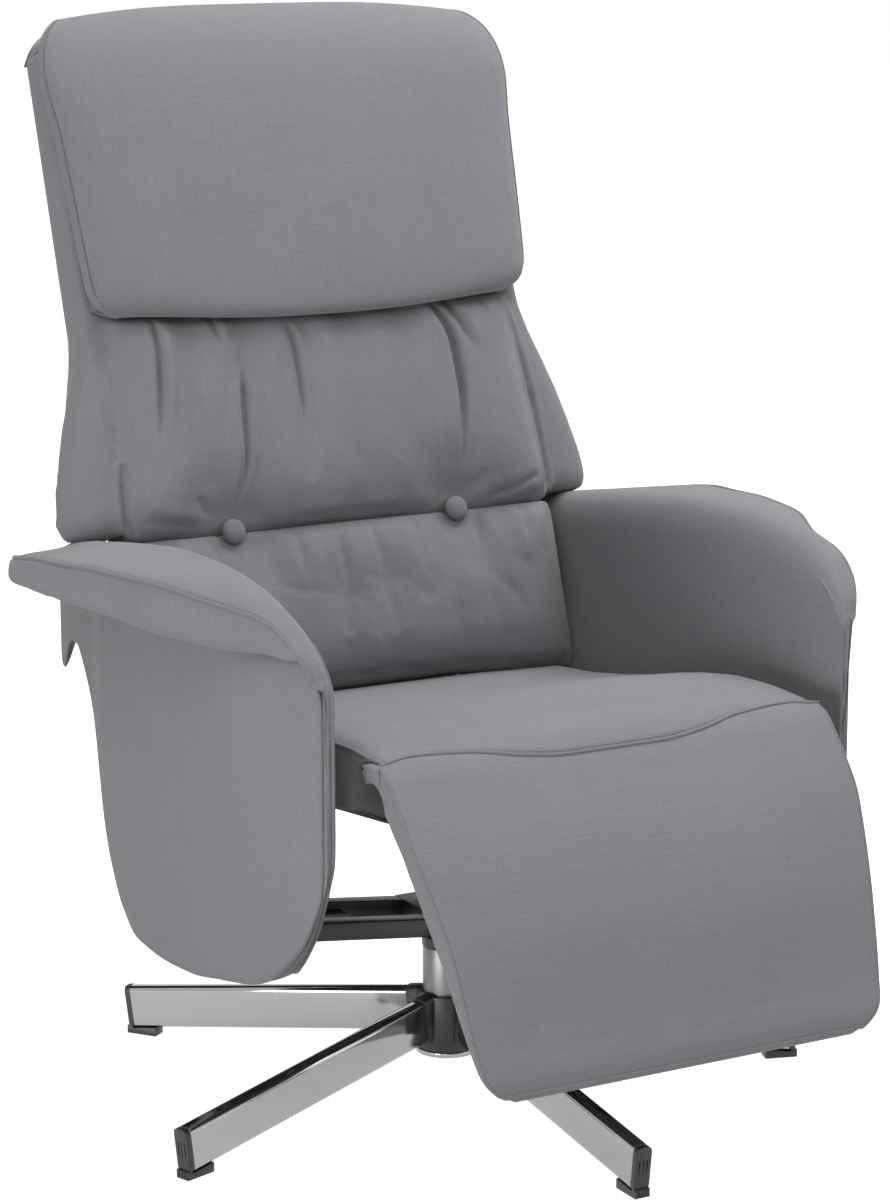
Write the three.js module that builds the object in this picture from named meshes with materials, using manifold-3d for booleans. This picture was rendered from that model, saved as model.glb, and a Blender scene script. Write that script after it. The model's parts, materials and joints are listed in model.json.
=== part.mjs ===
// Star base swivel recliner: padded chair with a footrest, on a five-leg swivel base.
// Millimetres, +Z up, the sitter faces -Y, the swivel axis starts at x = y = 0.
import * as THREE from 'three';
import Module from 'manifold-3d';
import { mergeVertices } from 'three/addons/utils/BufferGeometryUtils.js';

const wasm = await Module();
wasm.setup();

// Fits shared by the whole chair
const seatingGap = 0.3;      // between pieces that rest on each other
const runningGap = 0.6;      // between pieces that turn past each other
const openPivotGap = 1.8;    // play in the rods' front eyes, where the linkage is opened
const overrun = 4;           // how far a cutter passes the face it cuts
const weldGap = 1e-4;
const degree = Math.PI / 180;

// Star base
const legCount = 5;
const legReach = 371;        // axis to the outer face of an end cap
const legTip = { width: 17, height: 45.5, corner: 6, wall: 1.6 };
const legRise = 43.5;        // how much higher a leg is at the hub than at its tip
const capFace = 6;
const capPlug = 18;
const capGroove = 1.2;
const capGrooveCount = 3;
const footLength = 34;
const footHeight = 5.5;      // floor to the underside of a leg at its tip
const hubRadius = 32;
const socketReach = 40;
const socketLip = 1.6;
const hubPlug = 24;
const hubBottom = 39.3;
const hubTop = 97;
const hubRingHeight = 5;
const hubRingRadius = 33;
const columnRadius = 25;
const columnWall = 2.6;
const columnTop = 145.5;
const spindleRadius = 12.5;
const spindleSeat = 44;      // length of the thick end held in the column
const collarRadius = 25.8;
const collarHeight = 11;
const collarCap = 4;         // roof of the collar over the spindle

// Swivel spider
const barSize = 19.5;
const barSpacing = 74;       // front bar, over the axis, to rear bar
const barRise = 6.9 * degree;
const headHalfWidth = 14;
const headOverhang = 2;
const webThickness = 5;
const webInner = 88;         // axis to the inner edge of the web between the bars
const webWidth = 70;

// Seat: the deck is the plane of the frame's underside, leaning back
const seatHalfWidth = 240;
const seatSeamY = -301;      // seam between seat and footrest
const seatRearY = 158;
const seatSideTop = 433;     // top edge of the side band at the seam
const deckFrontY = -285;
const deckFrontZ = 380;
const deckTilt = 8 * degree;
const seatCrown = 15;
const seatFall = 58;         // how far the seat's top falls to the rear
const bandInset = 5;         // how far the sides of the seat are drawn in
const railSize = 22;
const railSetback = 52;      // deck front to front rail
const railRearMargin = 8;    // rear rail to the rear of the seat, along the deck
const railSideMargin = 18;   // side of the seat to the side of its frame
const railHalfSpan = seatHalfWidth - railSideMargin;
const recessPlay = 2;
const springCount = 4;
const springSpacing = 90;
const springSwing = 21;
const springWire = 3.4;
const springEnd = 8;         // straight end of a spring, square to its rail
const springBends = 9;

// Footrest
const kneeY = -285;          // footrest pivot
const kneeZ = 388;
const kneeRadius = 42;       // padded roll round the pivot
const kneeCore = 24;
const kneeBack = 30 * degree;    // how far the roll reaches behind the top of the pivot
const kneeFront = 86 * degree;   // and how far in front of it
const lipThickness = 5.6;    // seat cover over the roll, up to the seam
const footrestLean = 27 * degree;
const footrestLength = 283;  // pivot to the lower edge, along the pad
const footrestBulge = 64;    // pivot's plane to the fullest part of the pad's front edge
const footrestBack = 27;     // pivot's plane to the pad's back
const footrestHalfWidth = 240;
const footrestCrown = 6;
const footrestDraw = 8;      // how much narrower the back of the pad is, per side
const boardThickness = 10;
const boardTop = 64;
const boardLow = 240;
const boardHalfWidth = 190;
const liftRange = 63 * degree;

// Backrest, in its own frame: x, s up along the back, d towards the rear, from the pivot
const reclineY = 215;
const reclineZ = 352;
const reclineRange = 35 * degree;
const backLean = 18 * degree;
const backFront = -50;       // plane that the back cushions lie on
const backRear = 5;
const backHeelRadius = 50;
const shellHalfWidth = 246;
const shellHeelHalfWidth = 200;
const heelHeight = 62;
const wingHeight = 203;      // underside of the side wings
const wingHalfWidth = 311;
const wingPad = 15;          // how far the padding of a wing stands off the shell's front
const wingCorner = 10;
const wingTaper = 20;        // how much narrower the wings are at the rear, per side
// Outline of a side wing above its lower edge: [height share, reach share, padding share]
const wingShares = [
  [0.13, 0.94, 1], [0.3, 0.77, 1], [0.45, 0.6, 1], [0.6, 0.38, 0.9], [0.78, 0.11, 0.6],
  [0.9, 0, 0.25], [1, 0, 0],
];
const shellTop = 700;
const headTop = 748;
const headLow = 425;
const headrestHalfWidth = 272;
const headTaper = 10;        // how much narrower the pillow is at its rear, per side
const headArch = 12;          // how far the pillow's top falls towards its sides
const headBulge = 56;
const headEdge = 0.14;       // share of the bulge left at the pillow's side seams
const tuftHeight = 186;
const tuftGap = 1.6;
const cushionLow = 12.5;
const cushionEdge = 12;
const cushionCrown = 26;
const cushionRoll = 46;      // width over which a back cushion rises from its edge
const cushionDraw = 5;
const cushionHalfWidth = 250;
const cushionTuck = 9;       // upper cushion's top to the headrest's rear edge
const cushionTaper = 16;     // how much narrower the upper cushion is at its top, per side
const pleatPitch = 62;
const pleatDepth = 3.2;
const headLip = 14;          // how far the headrest stands out past the shell
const shellCorner = 14;
const shellHeelCorner = 2;
const buttonX = 131;
const buttonRadius = 13.5;
const buttonDome = 9;
const buttonSeat = 12;       // how far the button's back stands off the cushion's base plane
const buttonStem = 3;
const buttonPlay = 1.2;
const slotHalfWidth = 13;
const slotHeight = 30;

// Linkage under the seat
const plateX = 128;
const plateThickness = 4;
const plateDepth = 27;
const pivotPinRadius = 5;
const rodPinRadius = 4;
const pinHead = 2.4;
const pinHeadRadius = 8;
const eyeRadius = 13;
const rodEyeRadius = 10.5;
const legEndRadius = 9;      // lower end of a footrest arm, behind the board
const rodHeight = 15;
const linkThickness = 5;
const footCrank = 40;
const bracketStripWidth = 38;
const bracketStripTop = 230;
const neckReach = 35;        // pivot to the middle of a plate's neck, along Y
const neckDrop = 43;
const crossRail = { width: 30, height: 10 };
const crossRailYs = [-60, 120];

// Arms
const armFrontY = -284;
const armDepth = 619;
const armFrontGap = 36;      // side of the seat to the arm's inner face at its front edge
const armRearGap = 16;       // the same beside the backrest
const armFrontFace = seatHalfWidth + armFrontGap;
const armRearFace = seatHalfWidth + armRearGap;
const armRearFaceY = 200;
const armFoot = 161;
const armCrest = 588;
const padReach = 141;
const padBand = 42;
const padDrop = 12;
const linerThickness = 22;
const panelThickness = 13;
const padRoll = 30;          // overhang at which the pad has its full roll
const bracketThickness = 4;
const bracketY = [-85, 150];
const bracketZ = [178, 338];
const bracketCut = 20;

const colours = {
  fabric: 0x8a8c8f, chrome: 0xd0d2d4, black: 0x17181a, steel: 0x8d9094, darkSteel: 0x2a2b2d, wood: 0xb48a5c,
};

function finish(colour, roughness, metalness) {
  return new THREE.MeshStandardMaterial({ color: colour, roughness, metalness });
}
const fabric = () => finish(colours.fabric, 0.9, 0);
const chrome = () => finish(colours.chrome, 0.12, 1);
const plastic = () => finish(colours.black, 0.5, 0);
const steel = () => finish(colours.steel, 0.35, 1);
const paintedSteel = () => finish(colours.darkSteel, 0.45, 0.6);
const plywood = () => finish(colours.wood, 0.7, 0);

const chair = new THREE.Group();

function place(name, geometry, material, parent = chair) {
  const mesh = new THREE.Mesh(geometry, material);
  mesh.name = name;
  parent.add(mesh);
  return mesh;
}

// Solids: joining, cutting and mirroring closed meshes
function toSolid(geometry) {
  const plain = geometry.clone();
  plain.deleteAttribute('normal');
  plain.deleteAttribute('uv');
  const merged = mergeVertices(plain, weldGap);
  return new wasm.Manifold(new wasm.Mesh({
    numProp: 3,
    vertProperties: merged.attributes.position.array,
    triVerts: new Uint32Array(merged.index.array),
  }));
}

function toGeometry(solid) {
  const mesh = solid.getMesh();
  const geometry = new THREE.BufferGeometry();
  geometry.setAttribute('position', new THREE.BufferAttribute(Float32Array.from(mesh.vertProperties), 3));
  geometry.setIndex(Array.from(mesh.triVerts));
  geometry.computeVertexNormals();
  return geometry;
}

function join(first, ...others) {
  return toGeometry(others.reduce((whole, piece) => whole.add(toSolid(piece)), toSolid(first)));
}

function cut(body, ...cutters) {
  return toGeometry(cutters.reduce((rest, cutter) => rest.subtract(toSolid(cutter)), toSolid(body)));
}

function mirrored(geometry) {
  const copy = geometry.index ? geometry.toNonIndexed() : geometry.clone();
  copy.scale(-1, 1, 1);
  const position = copy.attributes.position;
  const triangle = [new THREE.Vector3(), new THREE.Vector3()];
  for (let corner = 0; corner < position.count; corner += 3) {
    triangle[0].fromBufferAttribute(position, corner);
    triangle[1].fromBufferAttribute(position, corner + 1);
    position.setXYZ(corner, triangle[1].x, triangle[1].y, triangle[1].z);
    position.setXYZ(corner + 1, triangle[0].x, triangle[0].y, triangle[0].z);
  }
  const merged = mergeVertices(stripped(copy), weldGap);
  merged.computeVertexNormals();
  return merged;
}

function stripped(geometry) {
  geometry.deleteAttribute('normal');
  geometry.deleteAttribute('uv');
  return geometry;
}

function box(width, depth, height, x = 0, y = 0, z = 0) {
  return new THREE.BoxGeometry(width, depth, height).translate(x, y, z);
}

// A cylinder lying along X
function barrel(radius, length, x, y, z, sides = 16) {
  return new THREE.CylinderGeometry(radius, radius, length, sides).rotateZ(Math.PI / 2).translate(x, y, z);
}

// An upright turned piece, from a closed list of [radius, z]
function turned(profile, sides = 36) {
  const outline = profile.map(([r, z]) => new THREE.Vector2(r, z));
  return new THREE.LatheGeometry(outline, sides).rotateX(Math.PI / 2);
}

// A flat plate standing in the YZ plane, from a shape drawn in (y, z), centred on x
function plate(shape, thickness, x) {
  const slab = new THREE.ExtrudeGeometry(shape, { depth: thickness, bevelEnabled: false, curveSegments: 6 });
  return slab.applyMatrix4(new THREE.Matrix4().set(
    0, 0, 1, x - thickness / 2,
    1, 0, 0, 0,
    0, 1, 0, 0,
    0, 0, 0, 1,
  ));
}

// A skin through closed rings of equal count, with flat ends; project gives a ring's own plane
function loft(rings, project) {
  const count = rings[0].length;
  const faces = [];
  for (let ring = 0; ring + 1 < rings.length; ring += 1) {
    for (let k = 0; k < count; k += 1) {
      const a = ring * count + k;
      const b = ring * count + (k + 1) % count;
      faces.push(a, b, b + count, a, b + count, a + count);
    }
  }
  const last = (rings.length - 1) * count;
  for (const [ring, start, flip] of [[rings[0], 0, true], [rings.at(-1), last, false]]) {
    for (const [a, b, c] of capFaces(ring.map(project))) {
      faces.push(start + a, start + (flip ? c : b), start + (flip ? b : c));
    }
  }
  const geometry = new THREE.BufferGeometry();
  const points = rings.flat().flatMap((point) => [point.x, point.y, point.z]);
  geometry.setAttribute('position', new THREE.Float32BufferAttribute(points, 3));
  geometry.setIndex(faces);
  return outward(geometry);
}

// Triangles over a flat ring, each turned the way the ring runs
function capFaces(ring) {
  const clockwise = THREE.ShapeUtils.area(ring) < 0;
  const order = ring.map((_, k) => (clockwise ? ring.length - 1 - k : k));
  const faces = wasm.triangulate([order.map((k) => [ring[k].x, ring[k].y])]);
  return faces.map(([a, b, c]) => (
    clockwise ? [order[a], order[c], order[b]] : [order[a], order[b], order[c]]));
}

function outward(geometry) {
  const position = geometry.attributes.position;
  const [a, b, c] = [new THREE.Vector3(), new THREE.Vector3(), new THREE.Vector3()];
  const index = geometry.index.array;
  let volume = 0;
  for (let k = 0; k < index.length; k += 3) {
    a.fromBufferAttribute(position, index[k]);
    b.fromBufferAttribute(position, index[k + 1]);
    c.fromBufferAttribute(position, index[k + 2]);
    volume += a.dot(b.cross(c));
  }
  if (volume < 0) {
    const turnedFaces = Array.from(index);
    for (let k = 0; k < turnedFaces.length; k += 3) {
      [turnedFaces[k + 1], turnedFaces[k + 2]] = [turnedFaces[k + 2], turnedFaces[k + 1]];
    }
    geometry.setIndex(turnedFaces);
  }
  geometry.computeVertexNormals();
  return geometry;
}

function smooth(share) {
  const t = THREE.MathUtils.clamp(share, 0, 1);
  return t * t * (3 - 2 * t);
}

// A value read between the rows of a table whose first column rises
function between(rows, at, column) {
  const next = rows.findIndex((row) => row[0] >= at);
  if (next <= 0) {
    return (next === 0 ? rows[0] : rows.at(-1))[column];
  }
  const [low, high] = [rows[next - 1], rows[next]];
  return low[column] + (high[column] - low[column]) * (at - low[0]) / (high[0] - low[0]);
}

// Rising shares, repeated with a minus sign in front of them
function bothWays(shares) {
  return [...shares.filter((share) => share > 0).reverse().map((share) => -share), ...shares];
}

function spread(count, low = 0, high = 1) {
  return Array.from({ length: count }, (_, k) => low + (high - low) * k / (count - 1));
}

// Star base
function roundedBlock(width, height, corner) {
  const [w, h] = [width / 2, height / 2];
  const shape = new THREE.Shape();
  shape.moveTo(-w + corner, -h);
  shape.lineTo(w - corner, -h);
  shape.quadraticCurveTo(w, -h, w, -h + corner);
  shape.lineTo(w, h - corner);
  shape.quadraticCurveTo(w, h, w - corner, h);
  shape.lineTo(-w + corner, h);
  shape.quadraticCurveTo(-w, h, -w, h - corner);
  shape.lineTo(-w, -h + corner);
  shape.quadraticCurveTo(-w, -h, -w + corner, -h);
  return shape;
}

const legRun = legReach - capFace - socketReach;
const legSlope = Math.atan2(legRise, legRun);
const legMiddle = footHeight + legTip.height / 2;

// A bar along the leg's own axis, from one reach to another, measured out from the swivel axis
function legBar(shape, from, to, curveSegments = 2) {
  const depth = (to - from) / Math.cos(legSlope);
  const bar = new THREE.ExtrudeGeometry(shape, { depth, bevelEnabled: false, curveSegments });
  bar.rotateX(Math.PI / 2 + legSlope);
  bar.translate(0, -from, legMiddle + (legReach - from) * Math.tan(legSlope));
  return bar;
}

function legTube() {
  const tube = roundedBlock(legTip.width, legTip.height, legTip.corner);
  const inner = legTip.wall * 2;
  tube.holes.push(roundedBlock(legTip.width - inner, legTip.height - inner, legTip.corner - legTip.wall));
  return legBar(tube, socketReach + seatingGap, legReach - capFace - seatingGap, 4);
}

const plugShape = () => {
  const inner = legTip.wall * 2 + seatingGap * 2;
  return roundedBlock(legTip.width - inner, legTip.height - inner, legTip.corner - legTip.wall - seatingGap);
};

function legCap() {
  const block = roundedBlock(legTip.width, legTip.height, legTip.corner);
  const face = legBar(block, legReach - capFace, legReach, 4);
  const plug = legBar(plugShape(), legReach - capFace - capPlug, legReach - capFace / 2);
  const halfHeight = legTip.height / 2 / Math.cos(legSlope);
  const under = (reach) => legMiddle + (legReach - reach) * Math.tan(legSlope) - halfHeight;
  const inner = legReach - footLength;
  const foot = new THREE.Shape([
    new THREE.Vector2(-legReach, 0), new THREE.Vector2(-inner, 0),
    new THREE.Vector2(-inner, under(inner) - seatingGap),
    new THREE.Vector2(-legReach + capFace + seatingGap, under(legReach - capFace) - seatingGap),
    new THREE.Vector2(-legReach + capFace, under(legReach - capFace) + capFace / 2),
    new THREE.Vector2(-legReach, under(legReach) + capFace / 2),
  ]);
  const grooves = spread(capGrooveCount, -1, 1).map((side) => box(
    capGroove, capGroove * 2, legTip.height * 2, side * legTip.width / 4, -legReach, legMiddle));
  const body = join(face, plug, plate(foot, legTip.width - capGroove, 0));
  return cut(body, ...grooves);
}

function hubBlock() {
  const core = turned([[0, hubBottom], [hubRadius, hubBottom], [hubRadius, hubTop], [0, hubTop]]);
  const socket = roundedBlock(legTip.width + socketLip * 2, legTip.height + socketLip * 2, legTip.corner);
  const sockets = [];
  for (let leg = 0; leg < legCount; leg += 1) {
    const turn = leg * 2 * Math.PI / legCount;
    sockets.push(legBar(socket, hubRadius / 2, socketReach).rotateZ(turn));
    sockets.push(legBar(plugShape(), socketReach - overrun, socketReach + hubPlug).rotateZ(turn));
  }
  const boreRim = columnRadius + seatingGap;
  const bore = turned([[0, 0], [boreRim, 0], [boreRim, columnTop], [0, columnTop]]);
  return cut(join(core, ...sockets), bore);
}

for (let leg = 0; leg < legCount; leg += 1) {
  const turn = leg * 2 * Math.PI / legCount;
  place(`base_leg_${leg + 1}`, legTube(), chrome()).rotation.z = turn;
  place(`leg_end_cap_${leg + 1}`, legCap(), plastic()).rotation.z = turn;
}
place('base_hub', hubBlock(), plastic());

const ringTop = hubBottom - seatingGap;
place('hub_ring', turned([
  [0, ringTop - hubRingHeight], [hubRingRadius, ringTop - hubRingHeight],
  [hubRingRadius, ringTop], [0, ringTop],
]), chrome());
const boreRadius = columnRadius - columnWall;
place('column_tube', turned([
  [boreRadius, hubBottom], [columnRadius, hubBottom], [columnRadius, columnTop], [boreRadius, columnTop],
  [boreRadius, hubBottom],
]), finish(colours.steel, 0.4, 0.9));
const collarTop = columnTop + seatingGap + collarHeight;
const spindleTop = collarTop - collarCap - runningGap;
const spindleShoulder = columnTop - runningGap;
place('swivel_spindle', turned([
  [0, spindleShoulder - spindleSeat], [boreRadius - seatingGap, spindleShoulder - spindleSeat],
  [boreRadius - seatingGap, spindleShoulder], [spindleRadius, spindleShoulder], [spindleRadius, spindleTop],
  [0, spindleTop],
]), steel());

// Swivel spider: head over the column, and on each side two bars joined by a web
const spindleBore = spindleRadius + runningGap;
place('swivel_collar', turned([
  [spindleBore, columnTop + seatingGap], [collarRadius, columnTop + seatingGap], [collarRadius, collarTop],
  [0, collarTop], [0, collarTop - collarCap], [spindleBore, collarTop - collarCap],
  [spindleBore, columnTop + seatingGap],
]), plastic());
const headBottom = collarTop + seatingGap;
const headDepth = barSpacing + barSize + headOverhang * 2;
const headBlock = box(headHalfWidth * 2, headDepth, barSize, 0, barSpacing / 2, headBottom + barSize / 2);
place('swivel_head', headBlock, paintedSteel());

const armSplay = Math.atan2(armFrontFace - armRearFace, armRearFaceY - armFrontY);
const faceAt = (y) => armRearFace + (armRearFaceY - y) * Math.tan(armSplay);
const bracketFace = (y) => faceAt(y) - seatingGap - bracketThickness;
const innerX = headHalfWidth + seatingGap;

function spiderSide() {
  const tilt = Math.tan(barRise);
  const bars = [0, barSpacing].map((y) => {
    const outer = bracketFace(y + barSize / 2) - seatingGap;
    const bottom = [headBottom, headBottom + (outer - innerX) * tilt];
    const side = new THREE.Shape([
      new THREE.Vector2(innerX, bottom[0]), new THREE.Vector2(outer, bottom[1]),
      new THREE.Vector2(outer, bottom[1] + barSize), new THREE.Vector2(innerX, bottom[0] + barSize),
    ]);
    const bar = new THREE.ExtrudeGeometry(side, { depth: barSize, bevelEnabled: false });
    return bar.rotateX(Math.PI / 2).translate(0, y + barSize / 2, 0);
  });
  const webOuter = webInner + webWidth;
  const height = (x) => headBottom + (x - innerX) * tilt + barSize / 2 - webThickness / 2;
  const strip = new THREE.Shape([
    new THREE.Vector2(webInner, height(webInner)), new THREE.Vector2(webOuter, height(webOuter)),
    new THREE.Vector2(webOuter, height(webOuter) + webThickness),
    new THREE.Vector2(webInner, height(webInner) + webThickness),
  ]);
  const web = new THREE.ExtrudeGeometry(strip, { depth: barSpacing, bevelEnabled: false });
  web.rotateX(Math.PI / 2).translate(0, barSpacing, 0);
  return join(bars[0], bars[1], web);
}
place('spider_right', mirrored(spiderSide()), paintedSteel());
place('spider_left', spiderSide(), paintedSteel());

// Seat frame, in the deck's own frame: v towards the rear, z up from the underside
const deck = new THREE.Group();
deck.position.set(0, deckFrontY, deckFrontZ);
deck.rotation.x = -deckTilt;
chair.add(deck);
const deckZ = (y) => deckFrontZ - (y - deckFrontY) * Math.tan(deckTilt);
const railMiddle = railSize / 2;
const railLength = (seatRearY - deckFrontY) / Math.cos(deckTilt) - railSetback - railRearMargin;
const rearRailV = railSetback + railLength - railMiddle;
const frontRailV = railSetback + railMiddle;
for (const [name, v] of [['seat_rail_front', frontRailV], ['seat_rail_rear', rearRailV]]) {
  place(name, box(railHalfSpan * 2, railSize, railSize, 0, v, railMiddle), plywood(), deck);
}
const sideRailLength = rearRailV - frontRailV - railSize - seatingGap * 2;
for (const [name, side] of [['seat_rail_right', -1], ['seat_rail_left', 1]]) {
  const x = side * (railHalfSpan - railMiddle);
  const rail = box(railSize, sideRailLength, railSize, x, (frontRailV + rearRailV) / 2, railMiddle);
  place(name, rail, plywood(), deck);
}

// Zigzag springs between the front and rear rails, level with the rails' tops
function zigzagSpring() {
  const half = sideRailLength / 2;
  const waves = spread(springBends * 4 + 1, -1, 1).map((t) => new THREE.Vector3(
    springSwing * Math.sin(t * springBends * Math.PI), t * (half - springEnd), 0));
  const points = [new THREE.Vector3(0, -half, 0), ...waves, new THREE.Vector3(0, half, 0)];
  const steps = springBends * 4;
  const section = new THREE.Shape();
  section.absarc(0, 0, springWire / 2, 0, 2 * Math.PI);
  return new THREE.ExtrudeGeometry(section, {
    steps, bevelEnabled: false, curveSegments: 2, extrudePath: new THREE.CatmullRomCurve3(points),
  });
}
for (let spring = 0; spring < springCount; spring += 1) {
  const x = (spring - (springCount - 1) / 2) * springSpacing;
  const mesh = place(`seat_spring_${spring + 1}`, zigzagSpring(), steel(), deck);
  mesh.position.set(x, (frontRailV + rearRailV) / 2, railSize - springWire / 2);
}

// Seat cushion: top line over depth, from the seam to the rear [depth share, height share]
const seatDepth = seatRearY - seatSeamY;
const seatTopShares = [
  [0, 0], [0.035, 0.055], [0.13, 0.08], [0.25, 0.03], [0.38, -0.12], [0.52, -0.36], [0.68, -0.62],
  [0.84, -0.84], [1, -0.97],
];
const seatFullShares = [[0, 0.37], [0.08, 0.7], [0.25, 1], [0.42, 0.7], [0.52, 0.35], [1, 0.35]];
const seatSideShares = [0, 0.45, 0.8, 0.94, 1];

function seatRing(u) {
  const side = Math.abs(u);
  const across = 1 - side ** 3;
  const drawn = seatHalfWidth - bandInset * (side < 1 ? 0 : 1);
  const edge = side > 0.98 ? bandInset : 0;
  const top = seatTopShares.map(([along, rise]) => {
    const crown = seatCrown * across * between(seatFullShares, along, 1) * smooth(along * 12);
    const height = seatSideTop + rise * seatFall + crown - edge;
    return new THREE.Vector3(u * drawn, seatSeamY + along * seatDepth, height);
  });
  const rear = new THREE.Vector3(u * seatHalfWidth, seatRearY, deckZ(seatRearY));
  const front = new THREE.Vector3(u * seatHalfWidth, seatSeamY, deckZ(kneeY) + bandInset);
  return [...top, rear, front];
}

function seatCushion() {
  const body = loft(bothWays(seatSideShares).map(seatRing), (point) => new THREE.Vector2(point.y, point.z));
  const knee = barrel(kneeRadius + runningGap, seatHalfWidth * 3, 0, kneeY, kneeZ, 48);
  const length = railLength + recessPlay * 2;
  const width = (railHalfSpan + recessPlay) * 2;
  const recess = box(width, length, railSize + overrun + seatingGap, 0, railSetback + railLength / 2,
    (railSize + seatingGap - overrun) / 2);
  recess.rotateX(-deckTilt).translate(0, deckFrontY, deckFrontZ);
  return cut(body, knee, recess);
}
place('seat_cushion', seatCushion(), fabric());

// Footrest
const lean = { along: new THREE.Vector2(-Math.sin(footrestLean), -Math.cos(footrestLean)) };
lean.out = new THREE.Vector2(lean.along.y, -lean.along.x);
// A point of the footrest's profile, along the pad from the pivot and out from the pivot's plane
function padPoint(along, out) {
  return new THREE.Vector2(
    kneeY + lean.along.x * along + lean.out.x * out,
    kneeZ + lean.along.y * along + lean.out.y * out);
}

function kneeArc(radius, from, to, count) {
  return spread(count, from, to).map((angle) => new THREE.Vector2(
    kneeY - radius * Math.sin(angle), kneeZ + radius * Math.cos(angle)));
}

// Front of the pad, then round its lower edge: [along share, out share, half width share]
const footrestFaceShares = [
  [0.106, 0.78, 1], [0.177, 0.925, 1], [0.318, 0.994, 0.98], [0.424, 1, 0.963], [0.53, 0.995, 0.945],
  [0.636, 0.935, 0.932], [0.742, 0.855, 0.921], [0.848, 0.775, 0.906], [0.912, 0.75, 0.892],
  [0.95, 0.715, 0.868], [0.98, 0.65, 0.83], [1, 0.55, 0.765],
];
const footrestBackShares = [[0.98, 0.82], [0.92, 0.885], [0.6, 0.94], [0.3, 0.98], [0.106, 1]];
const footrestStationShares = [0, 0.5, 0.8, 0.95, 1];

function footrestRing(u) {
  const crown = footrestCrown * (1 - u ** 4);
  const across = (point, half) => new THREE.Vector3(u * half, point.x, point.y);
  const arc = (radius, from, to, count) => kneeArc(radius, from, to, count)
    .map((point) => across(point, footrestHalfWidth));
  const face = footrestFaceShares.map(([along, out, half]) => across(
    padPoint(along * footrestLength, out * footrestBulge + crown * Math.sin(Math.PI * along)),
    half * footrestHalfWidth));
  const back = footrestBackShares.map(([along, half]) => across(
    padPoint(along * footrestLength, footrestBack), half * footrestHalfWidth - footrestDraw));
  return [
    ...arc(kneeRadius, -kneeBack, kneeFront, 10), ...face, ...back, ...arc(kneeCore, kneeFront, -kneeBack, 7),
  ];
}
const sideView = (point) => new THREE.Vector2(point.y, point.z);
place('footrest_cushion', loft(bothWays(footrestStationShares).map(footrestRing), sideView), fabric());

// Board and arms behind the pad, drawn in (y, z)
const shapeOf = (points) => new THREE.Shape(points);
const boardFace = footrestBack - seatingGap;
place('footrest_board', plate(shapeOf([
  padPoint(boardTop, boardFace), padPoint(boardLow, boardFace),
  padPoint(boardLow, boardFace - boardThickness), padPoint(boardTop, boardFace - boardThickness),
]), boardHalfWidth * 2, 0), plywood());

// An outline of two round eyes joined by straight sides
function linkShape(a, b, radiusA, radiusB) {
  const direction = Math.atan2(b.y - a.y, b.x - a.x);
  const shape = new THREE.Shape();
  shape.absarc(a.x, a.y, radiusA, direction + Math.PI / 2, direction - Math.PI / 2 + 2 * Math.PI, false);
  shape.absarc(b.x, b.y, radiusB, direction - Math.PI / 2, direction + Math.PI / 2, false);
  return shape;
}
const knee = new THREE.Vector2(kneeY, kneeZ);
const footCrankStart = liftRange / 2;
const footPin = new THREE.Vector2(
  kneeY + footCrank * Math.sin(footCrankStart), kneeZ - footCrank * Math.cos(footCrankStart));
const sides = [['right', -1], ['left', 1]];
const pinHole = (radius, x, point) => barrel(radius, linkThickness * 3, x, point.x, point.y);

function footrestArm(x) {
  const behind = boardFace - boardThickness - seatingGap;
  const legEnd = padPoint(boardTop + footrestLength / 3, behind - legEndRadius);
  const leg = plate(linkShape(knee, legEnd, eyeRadius, legEndRadius), linkThickness, x);
  const crank = plate(linkShape(knee, footPin, eyeRadius, rodEyeRadius), linkThickness, x);
  const room = plate(shapeOf([
    padPoint(boardTop - seatingGap, behind), padPoint(footrestLength, behind),
    padPoint(footrestLength, behind + eyeRadius), padPoint(boardTop - seatingGap, behind + eyeRadius),
  ]), linkThickness * 2, x);
  const pivotHole = pinHole(pivotPinRadius + seatingGap, x, knee);
  return cut(join(leg, crank), room, pivotHole, pinHole(rodPinRadius + seatingGap, x, footPin));
}

// A turned pin along X, headed at its low end, and at its high end where there is room
function crossPin(radius, low, high, point, headed = true) {
  const head = (x) => barrel(pinHeadRadius * radius / pivotPinRadius, pinHead, x, point.x, point.y, 16);
  const shaft = barrel(radius, high - low, (low + high) / 2, point.x, point.y, 16);
  return headed ? join(shaft, head(low), head(high)) : join(shaft, head(low));
}

const recline = new THREE.Vector2(reclineY, reclineZ);
const backCrank = footCrank * Math.sin(liftRange / 2) / Math.sin(reclineRange / 2);
const backPin = new THREE.Vector2(
  reclineY + backCrank * Math.sin(reclineRange / 2), reclineZ - backCrank * Math.cos(reclineRange / 2));

// The front pin dips further than the rear one in mid travel, and the front eye shares the difference
const dip = (crank, range) => crank * (1 - Math.cos(range / 2));
const dipDifference = dip(footCrank, liftRange) - dip(backCrank, reclineRange);
const frontEye = new THREE.Vector2(footPin.x, footPin.y - dipDifference / 2);

function pushRod(x) {
  const body = plate(linkShape(footPin, backPin, rodEyeRadius, rodEyeRadius), linkThickness, x);
  const waist = [1, -1].map((way) => {
    const slope = Math.atan2(backPin.y - footPin.y, backPin.x - footPin.x);
    const length = footPin.distanceTo(backPin) - rodEyeRadius * 4;
    const offset = way * (rodHeight / 2 + rodEyeRadius / 2);
    return new THREE.BoxGeometry(linkThickness * 2, length, rodEyeRadius).translate(0, 0, offset)
      .rotateX(slope).translate(x, (footPin.x + backPin.x) / 2, (footPin.y + backPin.y) / 2);
  });
  const openEye = pinHole(rodPinRadius + openPivotGap, x, frontEye);
  return cut(body, ...waist, openEye, pinHole(rodPinRadius + seatingGap, x, backPin));
}

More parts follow.
